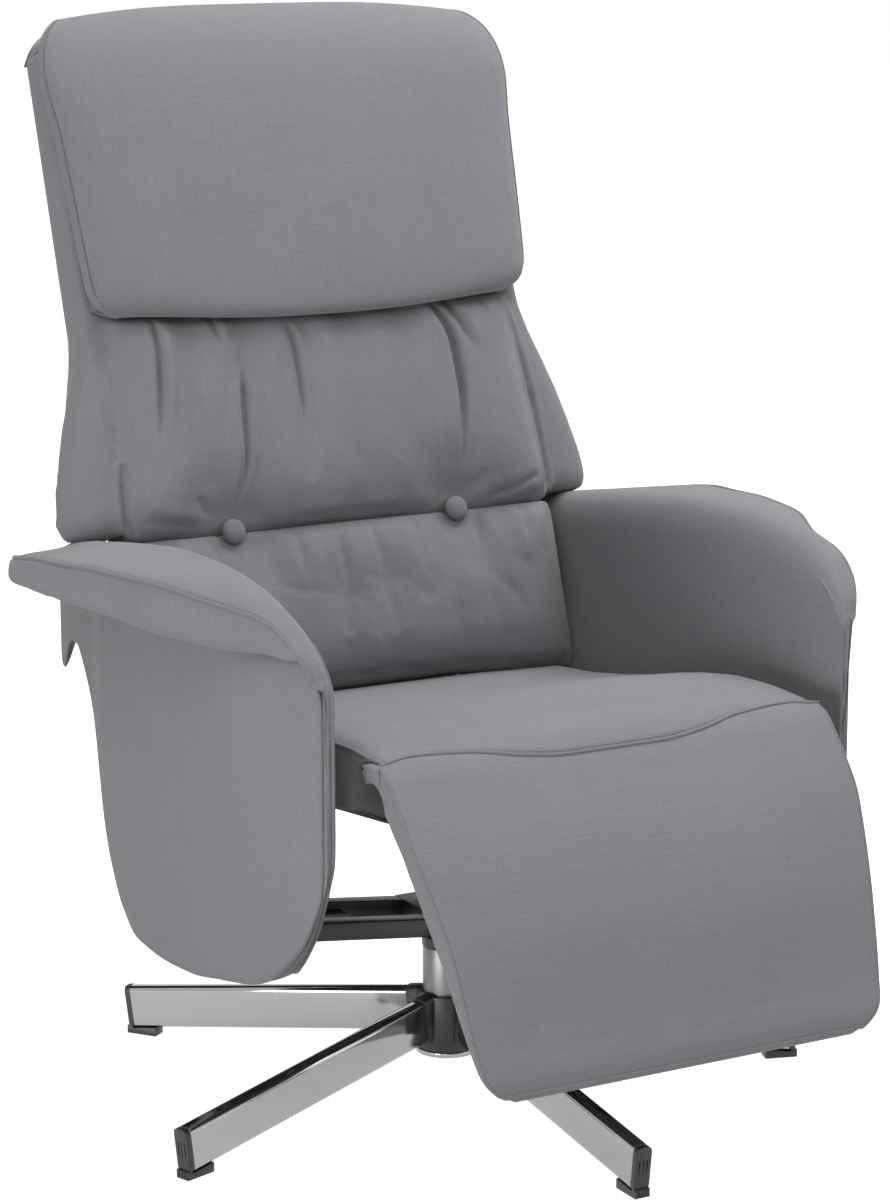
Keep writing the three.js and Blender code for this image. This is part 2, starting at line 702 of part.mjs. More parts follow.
// Mechanism plate: a beam under the deck, with the footrest pivot in front and the backrest pivot behind
function mechanismPlate(x) {
  const top = (y) => deckZ(y) - seatingGap;
  const front = new THREE.Vector2(kneeY + neckReach, kneeZ - neckDrop);
  const rear = new THREE.Vector2(reclineY - neckReach, reclineZ - neckDrop - eyeRadius);
  const beam = plate(shapeOf([
    new THREE.Vector2(front.x, top(front.x)), new THREE.Vector2(rear.x, top(rear.x)),
    new THREE.Vector2(rear.x, top(rear.x) - plateDepth), new THREE.Vector2(front.x, front.y - eyeRadius),
  ]), plateThickness, x);
  const frontNeck = plate(linkShape(knee, front, eyeRadius, eyeRadius), plateThickness, x);
  const rearNeck = plate(linkShape(recline, rear, eyeRadius, eyeRadius), plateThickness, x);
  const notch = crossRail.height + seatingGap * 2;
  const notchWidth = crossRail.width + seatingGap * 2;
  const notches = crossRailYs.map((y) => new THREE.BoxGeometry(plateThickness * 2, notchWidth, notch * 2)
    .rotateX(-deckTilt).translate(x, y, top(y)));
  const holes = [knee, recline].map((point) => pinHole(pivotPinRadius + seatingGap, x, point));
  return cut(join(beam, frontNeck, rearNeck), ...notches, ...holes);
}

// Backrest: x, d and s are the axes of its own frame
const heelShares = [0.98, 0.8, 0.5, 0];
const wingUnderShare = 0.65;      // a point of the rounded lower edge of a wing
// Half width of the back cushions at height s
function cushionSide(s) {
  return cushionHalfWidth - cushionTaper * smooth((s - tuftHeight) / (headLow - tuftHeight));
}
const back = new THREE.Group();
back.position.set(0, reclineY, reclineZ);
back.rotation.x = -backLean;
chair.add(back);

// Front of the shell beside the cushions, from its outer side in: [way in share, corner share, padding share]
const wingFrontShares = [
  [0, 1.4, 0], [0.06, 0.5, 0.12], [0.25, 0, 0.62], [0.55, 0, 0.95], [0.82, 0, 1], [0.97, 0, 0.8], [1, 0, 0],
];

// A section of the shell at height s: round at the rear, with the padding of the wings at the front
function shellSection({ s, half, rearHalf, padding }, low, high, corner) {
  const radius = Math.min(corner, (high - low) / 2 * 0.98);
  const seam = cushionSide(s) + seatingGap * 2;
  const width = Math.max(half - seam, radius);
  const rear = [[rearHalf, 0], [-rearHalf, 90]].flatMap(([x, start]) => [0, 45, 90].map((angle) => {
    const turn = (start + angle) * degree;
    const side = x - Math.sign(x) * radius;
    return new THREE.Vector3(side + radius * Math.cos(turn), high - radius + radius * Math.sin(turn), s);
  }));
  const front = wingFrontShares.map(([way, roll, rise]) => new THREE.Vector3(
    half - way * width, low + roll * radius - rise * padding * wingPad, s));
  const otherSide = front.map((point) => new THREE.Vector3(-point.x, point.y, s));
  return [...rear, ...otherSide, ...front.reverse()];
}

// Rows of the shell from its heel up; the step under the wings clears the arms
function shellRows() {
  const neck = headrestHalfWidth - headLip;
  const wingTop = wingHeight + wingCorner;
  const under = wingCorner * wingUnderShare;
  const plain = (s, half) => ({ s, half, rearHalf: half, padding: 0 });
  const wing = (s, half, reach, padding) => ({ s, half, rearHalf: half - wingTaper * reach, padding });
  const heel = heelShares.map((share) => plain(-backHeelRadius * share, shellHeelHalfWidth));
  const flare = wingShares.map(([along, reach, padding]) => wing(
    wingTop + (headLow - wingTop) * along, neck + (wingHalfWidth - neck) * reach, reach, padding));
  return [
    ...heel, plain(heelHeight, shellHeelHalfWidth),
    plain(heelHeight + seatingGap, shellHalfWidth - wingCorner),
    plain(heelHeight + wingCorner, shellHalfWidth), plain(wingHeight, shellHalfWidth),
    wing(wingHeight + seatingGap, wingHalfWidth - wingCorner, 1, 0),
    wing(wingTop - under, wingHalfWidth - under * wingUnderShare, 1, wingUnderShare),
    wing(wingTop, wingHalfWidth, 1, 1), ...flare, plain(shellTop, neck),
  ];
}

function backShell() {
  const rings = shellRows().map((row) => {
    const front = row.s < 0 ? -Math.sqrt(backHeelRadius ** 2 - row.s ** 2) : backFront;
    return shellSection(row, front, backRear, row.s < heelHeight ? shellHeelCorner : shellCorner);
  });
  const body = loft(rings, (point) => new THREE.Vector2(point.x, point.y));
  const slots = sides.map(([, side]) => box(
    slotHalfWidth * 2, shellHalfWidth, slotHeight * 4, side * (plateX - plateThickness), 0, -slotHeight));
  return cut(body, ...slots);
}
place('back_shell', backShell(), fabric(), back);

// A padded slab: a grid of heights over its outline, standing on a plain back
function padded(columns, rows, outline, height, base) {
  const points = [];
  const faces = [];
  const width = columns + 1;
  for (let j = 0; j <= rows; j += 1) {
    for (let i = 0; i <= columns; i += 1) {
      const u = i / columns * 2 - 1;
      const [x, s] = outline(u, j / rows);
      points.push(new THREE.Vector3(x, base - height(x, s, u), s));
    }
  }
  for (let j = 0; j < rows; j += 1) {
    for (let i = 0; i < columns; i += 1) {
      const a = j * width + i;
      faces.push(a, a + 1, a + width + 1, a, a + width + 1, a + width);
    }
  }
  const end = rows * width;
  const rim = [
    ...spread(columns + 1, 0, columns), ...spread(rows, width + columns, end + columns),
    ...spread(columns, end + columns - 1, end), ...spread(rows - 1, end - width, width),
  ].map(Math.round);
  const start = points.length;
  rim.forEach((k, order) => {
    points.push(new THREE.Vector3(points[k].x, base, points[k].z));
    const next = (order + 1) % rim.length;
    faces.push(k, start + order, start + next, k, start + next, rim[next]);
  });
  const ring = points.slice(start).map((point) => new THREE.Vector2(point.x, point.z));
  for (const [a, b, c] of capFaces(ring)) {
    faces.push(start + a, start + c, start + b);
  }
  const geometry = new THREE.BufferGeometry();
  const flat = points.flatMap((p) => [p.x, p.y, p.z]);
  geometry.setAttribute('position', new THREE.Float32BufferAttribute(flat, 3));
  geometry.setIndex(faces);
  return outward(geometry);
}

const cushionBase = backFront - seatingGap;
const cushionEndShare = 0.12;    // length of cushion over which its ends draw in
const tuftPullShare = 0.6;

// How full the padding stands at a distance in from its edge: 0 at the edge, 1 inside
function swell(distance) {
  return Math.sqrt(Math.max(0, 1 - (1 - Math.min(1, distance / cushionRoll)) ** 2));
}

// The two buttons pull the padding down round them, and shallow pleats run up between
function tuftedHeight(x, s, u, low, high) {
  const edges = swell((1 - Math.abs(u)) * cushionHalfWidth) * swell(s - low) * swell(high - s);
  const away = Math.min(...[-buttonX, buttonX].map((bx) => Math.hypot(x - bx, s - tuftHeight)));
  const pull = THREE.MathUtils.lerp(1, smooth(away / (cushionRoll * 2)), tuftPullShare);
  const fade = smooth(Math.abs(s - tuftHeight) / pleatPitch);
  const pleat = Math.cos(2 * Math.PI * x / pleatPitch) * pleatDepth * fade;
  return (cushionEdge + (cushionCrown + pleat) * edges) * pull;
}

function backCushion(low, high, columns, rows) {
  const outline = (u, v) => {
    const nearEnd = Math.max(0, 1 - Math.min(v, 1 - v) / cushionEndShare);
    const s = low + (high - low) * v;
    return [u * (cushionSide(s) - cushionDraw * nearEnd ** 2), s];
  };
  const body = padded(columns, rows, outline, (x, s, u) => tuftedHeight(x, s, u, low, high), cushionBase);
  const depth = cushionCrown * 4;
  const pockets = [-buttonX, buttonX].map((x) => new THREE.CylinderGeometry(
    buttonRadius + buttonPlay, buttonRadius + buttonPlay, depth, 24)
    .translate(x, cushionBase - buttonSeat + seatingGap - depth / 2, tuftHeight));
  const stems = [-buttonX, buttonX].map((x) => new THREE.CylinderGeometry(
    buttonStem + runningGap, buttonStem + runningGap, depth, 12).translate(x, cushionBase, tuftHeight));
  return cut(body, ...pockets, ...stems);
}
const lowerCushion = backCushion(cushionLow, tuftHeight - tuftGap / 2, 20, 12);
const upperCushion = backCushion(tuftHeight + tuftGap / 2, headLow - cushionTuck, 24, 16);
place('back_cushion_lower', lowerCushion, fabric(), back);
place('back_cushion_upper', upperCushion, fabric(), back);

for (const [name, side] of sides) {
  const crown = cushionBase - buttonSeat;
  const profile = [
    [0, backFront - seatingGap], [buttonStem, backFront - seatingGap], [buttonStem, crown],
    [buttonRadius * 0.9, crown],
    [buttonRadius, crown - buttonDome * 0.35], [buttonRadius * 0.8, crown - buttonDome * 0.75],
    [buttonRadius * 0.42, crown - buttonDome * 0.96], [0, crown - buttonDome],
  ];
  const button = new THREE.LatheGeometry(profile.map(([r, d]) => new THREE.Vector2(r, d)), 24);
  place(`tuft_button_${name}`, outward(mergeVertices(stripped(button), weldGap)), fabric(), back)
    .position.set(side * buttonX, 0, tuftHeight);
}

// Headrest: a fat pillow that wraps over the top of the shell, drawn as [out share, up share]
const headShares = [
  [0, 0], [0.3, -0.012], [0.62, -0.06], [0.8, -0.09], [0.94, -0.06], [1, 0.03], [1, 0.28], [0.97, 0.55],
  [0.84, 0.78], [0.5, 0.92], [0, 0.975],
];
const headHalfShares = [
  [0, 0.78], [0.02, 0.86], [0.05, 0.92], [0.1, 0.945], [0.29, 0.96], [0.56, 0.978], [0.72, 1], [0.8, 0.99],
  [0.88, 0.95], [0.94, 0.87], [0.97, 0.76], [1, 0.55],
];
const headStationShares = [0.2, 0.55, 0.8, 0.93, 0.985, 1];
const headRearShares = [[0.6, 1], [0.1, 0.988], [-0.1, 0.94]];
const headArchShare = 0.7;       // height above which the pillow's sides fall away

function headrestRing(u) {
  const height = headTop - headLow;
  const bulge = THREE.MathUtils.lerp(headEdge, 1, Math.sqrt(Math.max(0, 1 - Math.abs(u) ** 5)));
  const droop = 1 - Math.abs(u) ** 2.5;
  const arch = (up) => headArch * u ** 4 * smooth((up - headArchShare) / (1 - headArchShare));
  const front = headShares.map(([out, up]) => [
    cushionBase - out * headBulge * bulge, headLow + (up < 0 ? up * droop : up) * height - arch(up)]);
  const rear = headRearShares.map(([out, up]) => [backFront * out, headLow + up * height - arch(up)]);
  const rim = shellTop + seatingGap;
  return [...front, ...rear, [backRear, rim], [cushionBase, rim]].map(([d, s]) => {
    const half = headrestHalfWidth * between(headHalfShares, (s - headLow) / height, 1);
    const rearward = smooth((d - cushionBase) / (backRear - cushionBase));
    return new THREE.Vector3(u * (half - headTaper * rearward), d, s);
  });
}
place('headrest_cushion', loft(bothWays(headStationShares).map(headrestRing), sideView), fabric(), back);

// Brackets up the back of the shell, each with an ear to the pivot and a crank to the push rod
function backBracket(x) {
  const d = backRear + seatingGap;
  const low = eyeRadius + runningGap;
  const strip = box(
    bracketStripWidth, linkThickness, bracketStripTop - low, x, d + linkThickness / 2, (bracketStripTop + low) / 2);
  const turn = reclineRange / 2 + backLean;
  const pin = new THREE.Vector2(backCrank * Math.sin(turn), -backCrank * Math.cos(turn));
  const origin = new THREE.Vector2(0, 0);
  const web = plate(shapeOf([
    new THREE.Vector2(0, -eyeRadius), new THREE.Vector2(d + linkThickness, 0),
    new THREE.Vector2(d + linkThickness, slotHeight - overrun), new THREE.Vector2(0, eyeRadius),
  ]), linkThickness, x);
  const eye = plate(linkShape(origin, pin, eyeRadius, rodEyeRadius), linkThickness, x);
  const body = join(strip, web, eye);
  const pivotHole = pinHole(pivotPinRadius + seatingGap, x, origin);
  return cut(body, pivotHole, pinHole(rodPinRadius + seatingGap, x, pin));
}

// Linkage, for the left; the right is its mirror image
const armX = plateX - plateThickness / 2 - runningGap - linkThickness / 2;
const rodX = armX - linkThickness - runningGap;
const outside = plateX + plateThickness / 2 + seatingGap + pinHead / 2;
const inside = armX - linkThickness / 2 - seatingGap - pinHead / 2;
const rodInside = rodX - linkThickness / 2 - seatingGap - pinHead / 2;
const rodOutside = armX + linkThickness / 2;
const linkage = [
  ['mechanism_plate', mechanismPlate(plateX), paintedSteel, chair],
  ['footrest_arm', footrestArm(armX), steel, chair],
  ['footrest_pin', crossPin(pivotPinRadius, inside, outside, knee), steel, chair],
  ['recline_pin', crossPin(pivotPinRadius, inside, outside, recline), steel, chair],
  ['push_rod', pushRod(rodX), steel, chair],
  ['rod_front_pin', crossPin(rodPinRadius, rodInside, rodOutside, footPin, false), steel, chair],
  ['rod_rear_pin', crossPin(rodPinRadius, rodInside, rodOutside, backPin, false), steel, chair],
  ['back_bracket', backBracket(armX), paintedSteel, back],
];
for (const [name, geometry, material, parent] of linkage) {
  place(`${name}_left`, geometry, material(), parent);
  place(`${name}_right`, mirrored(geometry), material(), parent);
}
crossRailYs.forEach((y, order) => {
  const half = bracketFace(y + crossRail.width / 2) - seatingGap;
  const rail = box(half * 2, crossRail.width, crossRail.height, 0, 0, -crossRail.height / 2 - seatingGap);
  const mesh = place(`cross_rail_${order === 0 ? 'front' : 'rear'}`, rail, paintedSteel());
  mesh.rotation.x = -deckTilt;
  mesh.position.set(0, y, deckZ(y));
});

// Arms: sections along the arm, as shares: [along, foot, crest, pad reach, body thickness, drop to the
// pad's edge, pad's band]
const armShares = [
  [0, 0.372, 0.841, 0.074, 0.32, 0.1, 0.11], [0.011, 0.326, 0.876, 0.103, 0.42, 0.2, 0.16],
  [0.036, 0.251, 0.913, 0.19, 0.6, 0.72, 0.38], [0.071, 0.192, 0.948, 0.31, 0.8, 0.6, 0.8],
  [0.128, 0.129, 0.979, 0.38, 0.95, 1.5, 0.95], [0.205, 0.084, 0.995, 0.47, 1, 1.75, 1.1],
  [0.305, 0.05, 1, 0.67, 1, 1.1, 1.27], [0.426, 0.014, 0.993, 0.81, 1, 1, 1.17],
  [0.556, 0, 0.974, 0.926, 1, 0.75, 1.03], [0.637, 0.006, 0.958, 0.978, 1, 0.45, 0.9],
  [0.701, 0.06, 0.944, 1, 1, 0.45, 0.78], [0.75, 0.16, 0.932, 0.92, 1, 0.6, 0.78],
  [0.792, 0.33, 0.923, 0.81, 1, 0.75, 0.83], [0.838, 0.5, 0.911, 0.647, 1, 1, 0.92],
  [0.887, 0.64, 0.897, 0.47, 1, 1.1, 1], [0.943, 0.62, 0.871, 0.294, 1, 0.65, 0.8],
  [1, 0.57, 0.822, 0.19, 0.9, 0.25, 0.4],
];

const panelCutShare = 0.8;       // where the panel's top starts to fall
const panelEndShare = 0.9;       // where the panel ends

function armSection([along, foot, crest, reach, body, drop, band]) {
  const rise = armCrest - armFoot;
  const out = reach * padReach;
  const thick = body * linerThickness;
  const roll = Math.min(1, Math.max(0, out - thick) / padRoll);
  const top = armFoot + crest * rise;
  const edge = top - padDrop * drop;
  const low = edge - padBand * band;
  return { y: along * armDepth, foot: armFoot + foot * rise, out, thick, roll, top, edge, low };
}

function linerRing(row) {
  const { y, foot, out, thick, top, edge, low } = armSection(row);
  const hem = linerThickness * 0.15 * Math.min(1, thick / linerThickness);
  const over = Math.max(out - thick, 0);
  const band = edge - low;
  const point = (x, z) => new THREE.Vector3(x, y, z);
  return [
    point(0, foot + hem), point(hem, foot), point(thick - hem, foot), point(thick, foot + hem),
    point(thick, low - band * 0.35), point(thick + over * 0.2, low - band * 0.1),
    point(out - over * 0.12, low), point(out, low + band * 0.3), point(out, low + band * 0.7),
    point(out - over * 0.05, edge), point(thick * 0.6 + out * 0.4, top - (top - edge) * 0.25),
    point(thick * 0.7 + over * 0.1, top),
    point(thick * 0.25, top - band * 0.1), point(0, top - band * 0.5),
  ];
}

function panelRing(row) {
  const { y, foot, thick, edge, low, roll } = armSection(row);
  const near = thick + seatingGap;
  const depth = panelThickness * row[4] ** 2;
  const far = near + depth;
  const corner = depth * 0.3;
  const cutBack = low - padBand * 1.8 * smooth((row[0] - panelCutShare) / (panelEndShare - panelCutShare));
  const tuck = (edge - low) * 0.35 + seatingGap + panelThickness * roll * 0.4;
  const top = Math.max(foot + corner * 4, cutBack - tuck);
  const point = (x, z) => new THREE.Vector3(x, y, z);
  return [
    point(near, foot), point(far - corner, foot), point(far, foot + corner),
    point(far, top - corner), point(far - corner, top), point(near, top),
  ];
}

function armPlate(x) {
  const points = [
    [bracketY[0], bracketZ[0] + bracketCut], [bracketY[0] + bracketCut, bracketZ[0]],
    [bracketY[1] - bracketCut, bracketZ[0]], [bracketY[1], bracketZ[0] + bracketCut],
    [bracketY[1], deckZ(bracketY[1]) - seatingGap], [bracketY[0], deckZ(bracketY[0]) - seatingGap],
  ];
  return plate(shapeOf(points.map(([y, z]) => new THREE.Vector2(y, z))), bracketThickness, x);
}
const splay = (geometry) => geometry.rotateZ(armSplay).translate(armRearFace, armRearFaceY, 0);
const frontView = (point) => new THREE.Vector2(point.x, point.z);
const panelRows = armShares.filter(([along]) => along < panelEndShare);
const armPieces = [
  ['arm_liner', loft(armShares.map(linerRing), frontView)],
  ['arm_outer_panel', loft(panelRows.map(panelRing), frontView)],
];
for (const [name, geometry] of armPieces) {
  const splayed = splay(geometry.translate(0, armFrontY - armRearFaceY, 0));
  place(`${name}_left`, splayed, fabric());
  place(`${name}_right`, mirrored(splayed), fabric());
}
const bracket = splay(armPlate(-seatingGap - bracketThickness / 2).translate(0, -armRearFaceY, 0));
place('arm_bracket_left', bracket, paintedSteel());
place('arm_bracket_right', mirrored(bracket), paintedSteel());

// The origin is the middle of the chair's footprint, on the floor
chair.updateMatrixWorld(true);
const extent = new THREE.Box3().setFromObject(chair, true);
chair.position.y = -(extent.min.y + extent.max.y) / 2;

export default chair;
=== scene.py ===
# Star base swivel recliner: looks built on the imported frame. Metres, +Z up, the sitter faces -Y.
import json
import math

import bmesh
import bpy
import numpy as np
from mathutils import Matrix, Vector
from mathutils.bvhtree import BVHTree


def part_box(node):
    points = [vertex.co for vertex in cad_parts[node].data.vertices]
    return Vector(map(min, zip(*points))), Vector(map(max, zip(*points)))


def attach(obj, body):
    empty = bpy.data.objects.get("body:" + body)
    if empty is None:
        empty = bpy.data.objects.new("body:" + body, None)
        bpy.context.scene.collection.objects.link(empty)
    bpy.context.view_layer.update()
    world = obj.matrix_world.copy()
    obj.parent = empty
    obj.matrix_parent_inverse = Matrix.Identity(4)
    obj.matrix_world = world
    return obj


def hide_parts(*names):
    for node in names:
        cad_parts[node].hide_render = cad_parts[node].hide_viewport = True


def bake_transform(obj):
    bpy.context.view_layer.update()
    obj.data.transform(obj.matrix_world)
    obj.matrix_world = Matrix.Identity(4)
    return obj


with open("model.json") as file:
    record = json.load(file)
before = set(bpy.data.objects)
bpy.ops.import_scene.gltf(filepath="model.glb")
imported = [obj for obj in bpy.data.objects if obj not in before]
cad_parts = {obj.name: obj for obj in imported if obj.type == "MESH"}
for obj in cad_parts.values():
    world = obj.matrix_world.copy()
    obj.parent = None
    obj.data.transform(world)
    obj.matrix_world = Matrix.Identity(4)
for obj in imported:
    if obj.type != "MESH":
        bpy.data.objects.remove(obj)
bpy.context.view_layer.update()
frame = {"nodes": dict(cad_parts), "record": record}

MM = 0.001
nodes = frame["nodes"]
scene = bpy.context.scene
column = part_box("column_tube")
SHIFT = (column[0][1] + column[1][1]) / 2    # where the swivel axis stands along Y
RECLINE = Vector((0, SHIFT + 0.215, 0.352))    # the back's pivot
LEAN = math.radians(18)    # of the back at rest
SIDES = (("right", -1), ("left", 1))


# Materials
def material(name, colour, roughness, metallic=0.0, **sockets):
    made = bpy.data.materials.new(name)
    made.use_nodes = True
    tree = made.node_tree
    shader = tree.nodes["Principled BSDF"]
    shader.inputs["Base Color"].default_value = (*colour, 1)
    shader.inputs["Roughness"].default_value = roughness
    shader.inputs["Metallic"].default_value = metallic
    for key, value in sockets.items():
        shader.inputs[key.replace("_", " ")].default_value = value
    made.diffuse_color = (*colour, 1)
    return made, tree, shader


def add(tree, kind, **values):
    node = tree.nodes.new(kind)
    for key, value in values.items():
        node.inputs[key].default_value = value
    return node


def math_node(tree, operation, a, b=0.0):
    node = tree.nodes.new("ShaderNodeMath")
    node.operation = operation
    for socket, value in zip(node.inputs, (a, b)):
        if isinstance(value, (int, float)):
            socket.default_value = value
        else:
            tree.links.new(value, socket)
    return node.outputs[0]


def plus(tree, a, b):
    return math_node(tree, "ADD", a, b)


def times(tree, a, b):
    return math_node(tree, "MULTIPLY", a, b)


def streaks(tree, coordinates, scale, detail=2.0):
    """Noise stretched along one direction."""
    mapping = add(tree, "ShaderNodeMapping")
    mapping.inputs["Scale"].default_value = scale
    tree.links.new(coordinates, mapping.inputs["Vector"])
    noise = add(tree, "ShaderNodeTexNoise", Scale=1.0, Detail=detail, Roughness=0.55)
    tree.links.new(mapping.outputs[0], noise.inputs["Vector"])
    return noise.outputs["Fac"]


def ramp(tree, factor, stops):
    node = tree.nodes.new("ShaderNodeValToRGB")
    while len(node.color_ramp.elements) < len(stops):
        node.color_ramp.elements.new(0.5)
    for element, (place, colour) in zip(node.color_ramp.elements, stops):
        element.position = place
        element.color = (*colour, 1)
    tree.links.new(factor, node.inputs["Fac"])
    return node.outputs["Color"]


def bump(tree, shader, height, strength, distance):
    node = add(tree, "ShaderNodeBump", Strength=strength, Distance=distance)
    tree.links.new(height, node.inputs["Height"])
    tree.links.new(node.outputs[0], shader.inputs["Normal"])


THREAD_FINE, THREAD_LONG = 760, 30    # noise per metre across the threads and along them
WEAVE_PITCH = 1.25 * MM
DARKER, PALER = 0.87, 1.13    # the threads' tones, of the cloth's colour
THREAD_TONE, PATCH_TONE = 0.86, 0.14
CROSSING_HEIGHT, THREAD_HEIGHT = 0.16, 1.1


def woven(name, base, tilt=0.0):
    """Fine plain weave with slubs along both threads, for cloth that leans back by tilt."""
    made, tree, shader = material(name, base, 0.92, Specular_IOR_Level=0.18, Sheen_Weight=0.22,
                                  Sheen_Roughness=0.45)
    place = add(tree, "ShaderNodeTexCoord")
    turn = add(tree, "ShaderNodeMapping")
    turn.inputs["Rotation"].default_value = (tilt, 0, 0)
    tree.links.new(place.outputs["Object"], turn.inputs["Vector"])
    cloth = turn.outputs[0]
    along_x = streaks(tree, cloth, (THREAD_LONG, THREAD_FINE, THREAD_FINE))
    along_y = streaks(tree, cloth, (THREAD_FINE, THREAD_LONG, THREAD_FINE))
    along_z = streaks(tree, cloth, (THREAD_FINE, THREAD_FINE, THREAD_LONG))
    threads = plus(tree, plus(tree, along_x, along_y), along_z)
    threads = math_node(tree, "DIVIDE", threads, 3.0)
    split = add(tree, "ShaderNodeSeparateXYZ")
    tree.links.new(cloth, split.inputs[0])
    pitch = 2 * math.pi / WEAVE_PITCH
    x, y, z = (math_node(tree, "SINE", times(tree, split.outputs[k], pitch)) for k in range(3))
    crossing = plus(tree, times(tree, x, z), times(tree, y, plus(tree, x, z)))
    patches = streaks(tree, cloth, (9, 9, 9), 3.0)
    tone = plus(tree, times(tree, threads, THREAD_TONE), times(tree, patches, PATCH_TONE))
    dark, pale = [tuple(c * k for c in base) for k in (DARKER, PALER)]
    colour = ramp(tree, tone, [(0.34, dark), (0.5, base), (0.66, pale)])
    tree.links.new(colour, shader.inputs["Base Color"])
    height = plus(tree, times(tree, crossing, CROSSING_HEIGHT), times(tree, threads, THREAD_HEIGHT))
    bump(tree, shader, height, 0.35, 0.0006)
    return made


GREY = (0.2, 0.203, 0.213)
PIPING, SEAM_SHADE_TONE = 0.93, 0.72    # their tones, of the cloth's; the headrest seams' darker tone is painted shade along the seam
cloth_seat = woven("woven_cloth", GREY)
cloth_back = woven("woven_cloth_back", GREY, LEAN)
cloth_trim = woven("woven_cloth_piping", tuple(c * PIPING for c in GREY))
# The headrest seams' cloth, darker as painted shade along the seams
cloth_seam_shade_back = woven("woven_cloth_painted_seam_shade", tuple(c * SEAM_SHADE_TONE for c in GREY), LEAN)


def polished(name, colour, roughness, brushed=0.0, axis=(900, 900, 14)):
    """Metal with smears; brushed is the share of fine lines, which run along the axis of the low scale."""
    made, tree, shader = material(name, colour, roughness, 1.0)
    place = add(tree, "ShaderNodeTexCoord")
    smears = streaks(tree, place.outputs["Object"], (26, 26, 26), 4.0)
    fine = streaks(tree, place.outputs["Object"], axis, 2.0)
    rough = plus(tree, times(tree, smears, 0.07), roughness - 0.03)
    rough = plus(tree, rough, times(tree, fine, brushed))
    tree.links.new(rough, shader.inputs["Roughness"])
    bump(tree, shader, fine, 0.05 + brushed, 0.0001)
    return made


def grained(name, colour, roughness, grain=0.25):
    """Fine grain with paler patches of wear."""
    made, tree, shader = material(name, colour, roughness)
    place = add(tree, "ShaderNodeTexCoord")
    fine = streaks(tree, place.outputs["Object"], (1400, 1400, 1400), 2.0)
    wear = streaks(tree, place.outputs["Object"], (30, 30, 30), 4.0)
    pale = tuple(min(1, c * 1.7 + 0.006) for c in colour)
    tree.links.new(ramp(tree, wear, [(0.42, colour), (0.72, pale)]), shader.inputs["Base Color"])
    rough = plus(tree, times(tree, wear, 0.2), roughness - 0.1)
    tree.links.new(rough, shader.inputs["Roughness"])
    bump(tree, shader, fine, grain, 0.0002)
    return made


def timber(name, colour):
    """Thin plies, seen on edge as darker lines."""
    made, tree, shader = material(name, colour, 0.62)
    place = add(tree, "ShaderNodeTexCoord")
    plies = streaks(tree, place.outputs["Object"], (8, 60, 700), 3.0)
    dark = tuple(c * 0.62 for c in colour)
    tree.links.new(ramp(tree, plies, [(0.35, dark), (0.6, colour)]), shader.inputs["Base Color"])
    bump(tree, shader, plies, 0.2, 0.0004)
    return made


chrome = polished("polished_chrome", (0.34, 0.342, 0.346), 0.1)
brushed = polished("satin_column", (0.16, 0.162, 0.165), 0.3, 0.12, (14, 14, 900))
zinc = polished("zinc_steel", (0.5, 0.51, 0.52), 0.36, 0.08)
black_plastic = grained("moulded_black", (0.012, 0.012, 0.013), 0.42)
black_steel = grained("black_powder_coat", (0.011, 0.011, 0.012), 0.4, 0.35)
plywood = timber("plywood", (0.5, 0.35, 0.2))
SLOTS = {"grey_fabric": cloth_seat, "chrome": chrome, "black_plastic": black_plastic, "column": brushed,
         "black_steel": black_steel, "steel": zinc, "plywood": plywood}


# Mesh helpers
def body_of(node):
    for body, names in frame["record"]["behaviour"]["bodies"].items():
        if node in names:
            return body
    return None


def slot_of(node):
    return next(part["material_slot"] for part in frame["record"]["subparts"] if part["node"] == node)


def points_of(mesh):
    co = np.empty(len(mesh.vertices) * 3)
    mesh.vertices.foreach_get("co", co)
    return co.reshape(-1, 3)


def normals_of(mesh):
    co = np.empty(len(mesh.vertices) * 3)
    mesh.vertex_normals.foreach_get("vector", co)
    return co.reshape(-1, 3)


def set_points(mesh, co):
    mesh.vertices.foreach_set("co", np.ascontiguousarray(co).ravel())
    mesh.update()


def new_object(name, mesh, paint):
    made = bpy.data.objects.new(name, mesh)
    scene.collection.objects.link(made)
    mesh.materials.clear()
    mesh.materials.append(paint)
    return made


def welded(node, name, paint):
    """A copy of a node's mesh with its vertices joined."""
    mesh = nodes[node].data.copy()
    work = bmesh.new()
    work.from_mesh(mesh)
    bmesh.ops.remove_doubles(work, verts=work.verts, dist=1e-5)
    bmesh.ops.recalc_face_normals(work, faces=work.faces)
    work.to_mesh(mesh)
    work.free()
    return new_object(name, mesh, paint)


def apply_modifiers(piece):
    graph = bpy.context.evaluated_depsgraph_get()
    mesh = bpy.data.meshes.new_from_object(piece.evaluated_get(graph))
    piece.modifiers.clear()
    old = piece.data
    piece.data = mesh
    bpy.data.meshes.remove(old)


def modifier(piece, kind, **values):
    made = piece.modifiers.new(kind.lower(), kind)
    for key, value in values.items():
        setattr(made, key, value)
    return made


def finish(piece, body, slot, *replaced):
    """Shades a piece smooth and says which body moves it and the solids that it stands for; slot is not used.
    """
    piece.data.polygons.foreach_set("use_smooth", [True] * len(piece.data.polygons))
    if body:
        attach(piece, body)
    if replaced:
        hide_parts(*replaced)
    return piece


# Rigid pieces: the solids with eased edges, their widths in millimetres
BEVEL_ANGLE, SHARP_ANGLE = math.radians(32), math.radians(40)


def eased(node, width):
    """The looks of a rigid node: its solid with small bevels."""
    slot = slot_of(node)
    piece = welded(node, node + "_finished", SLOTS[slot])
    modifier(piece, "BEVEL", width=width, segments=2, limit_method="ANGLE", angle_limit=BEVEL_ANGLE,
             harden_normals=False)
    apply_modifiers(piece)
    finish(piece, body_of(node), slot, node)
    piece.data.set_sharp_from_angle(angle=SHARP_ANGLE)


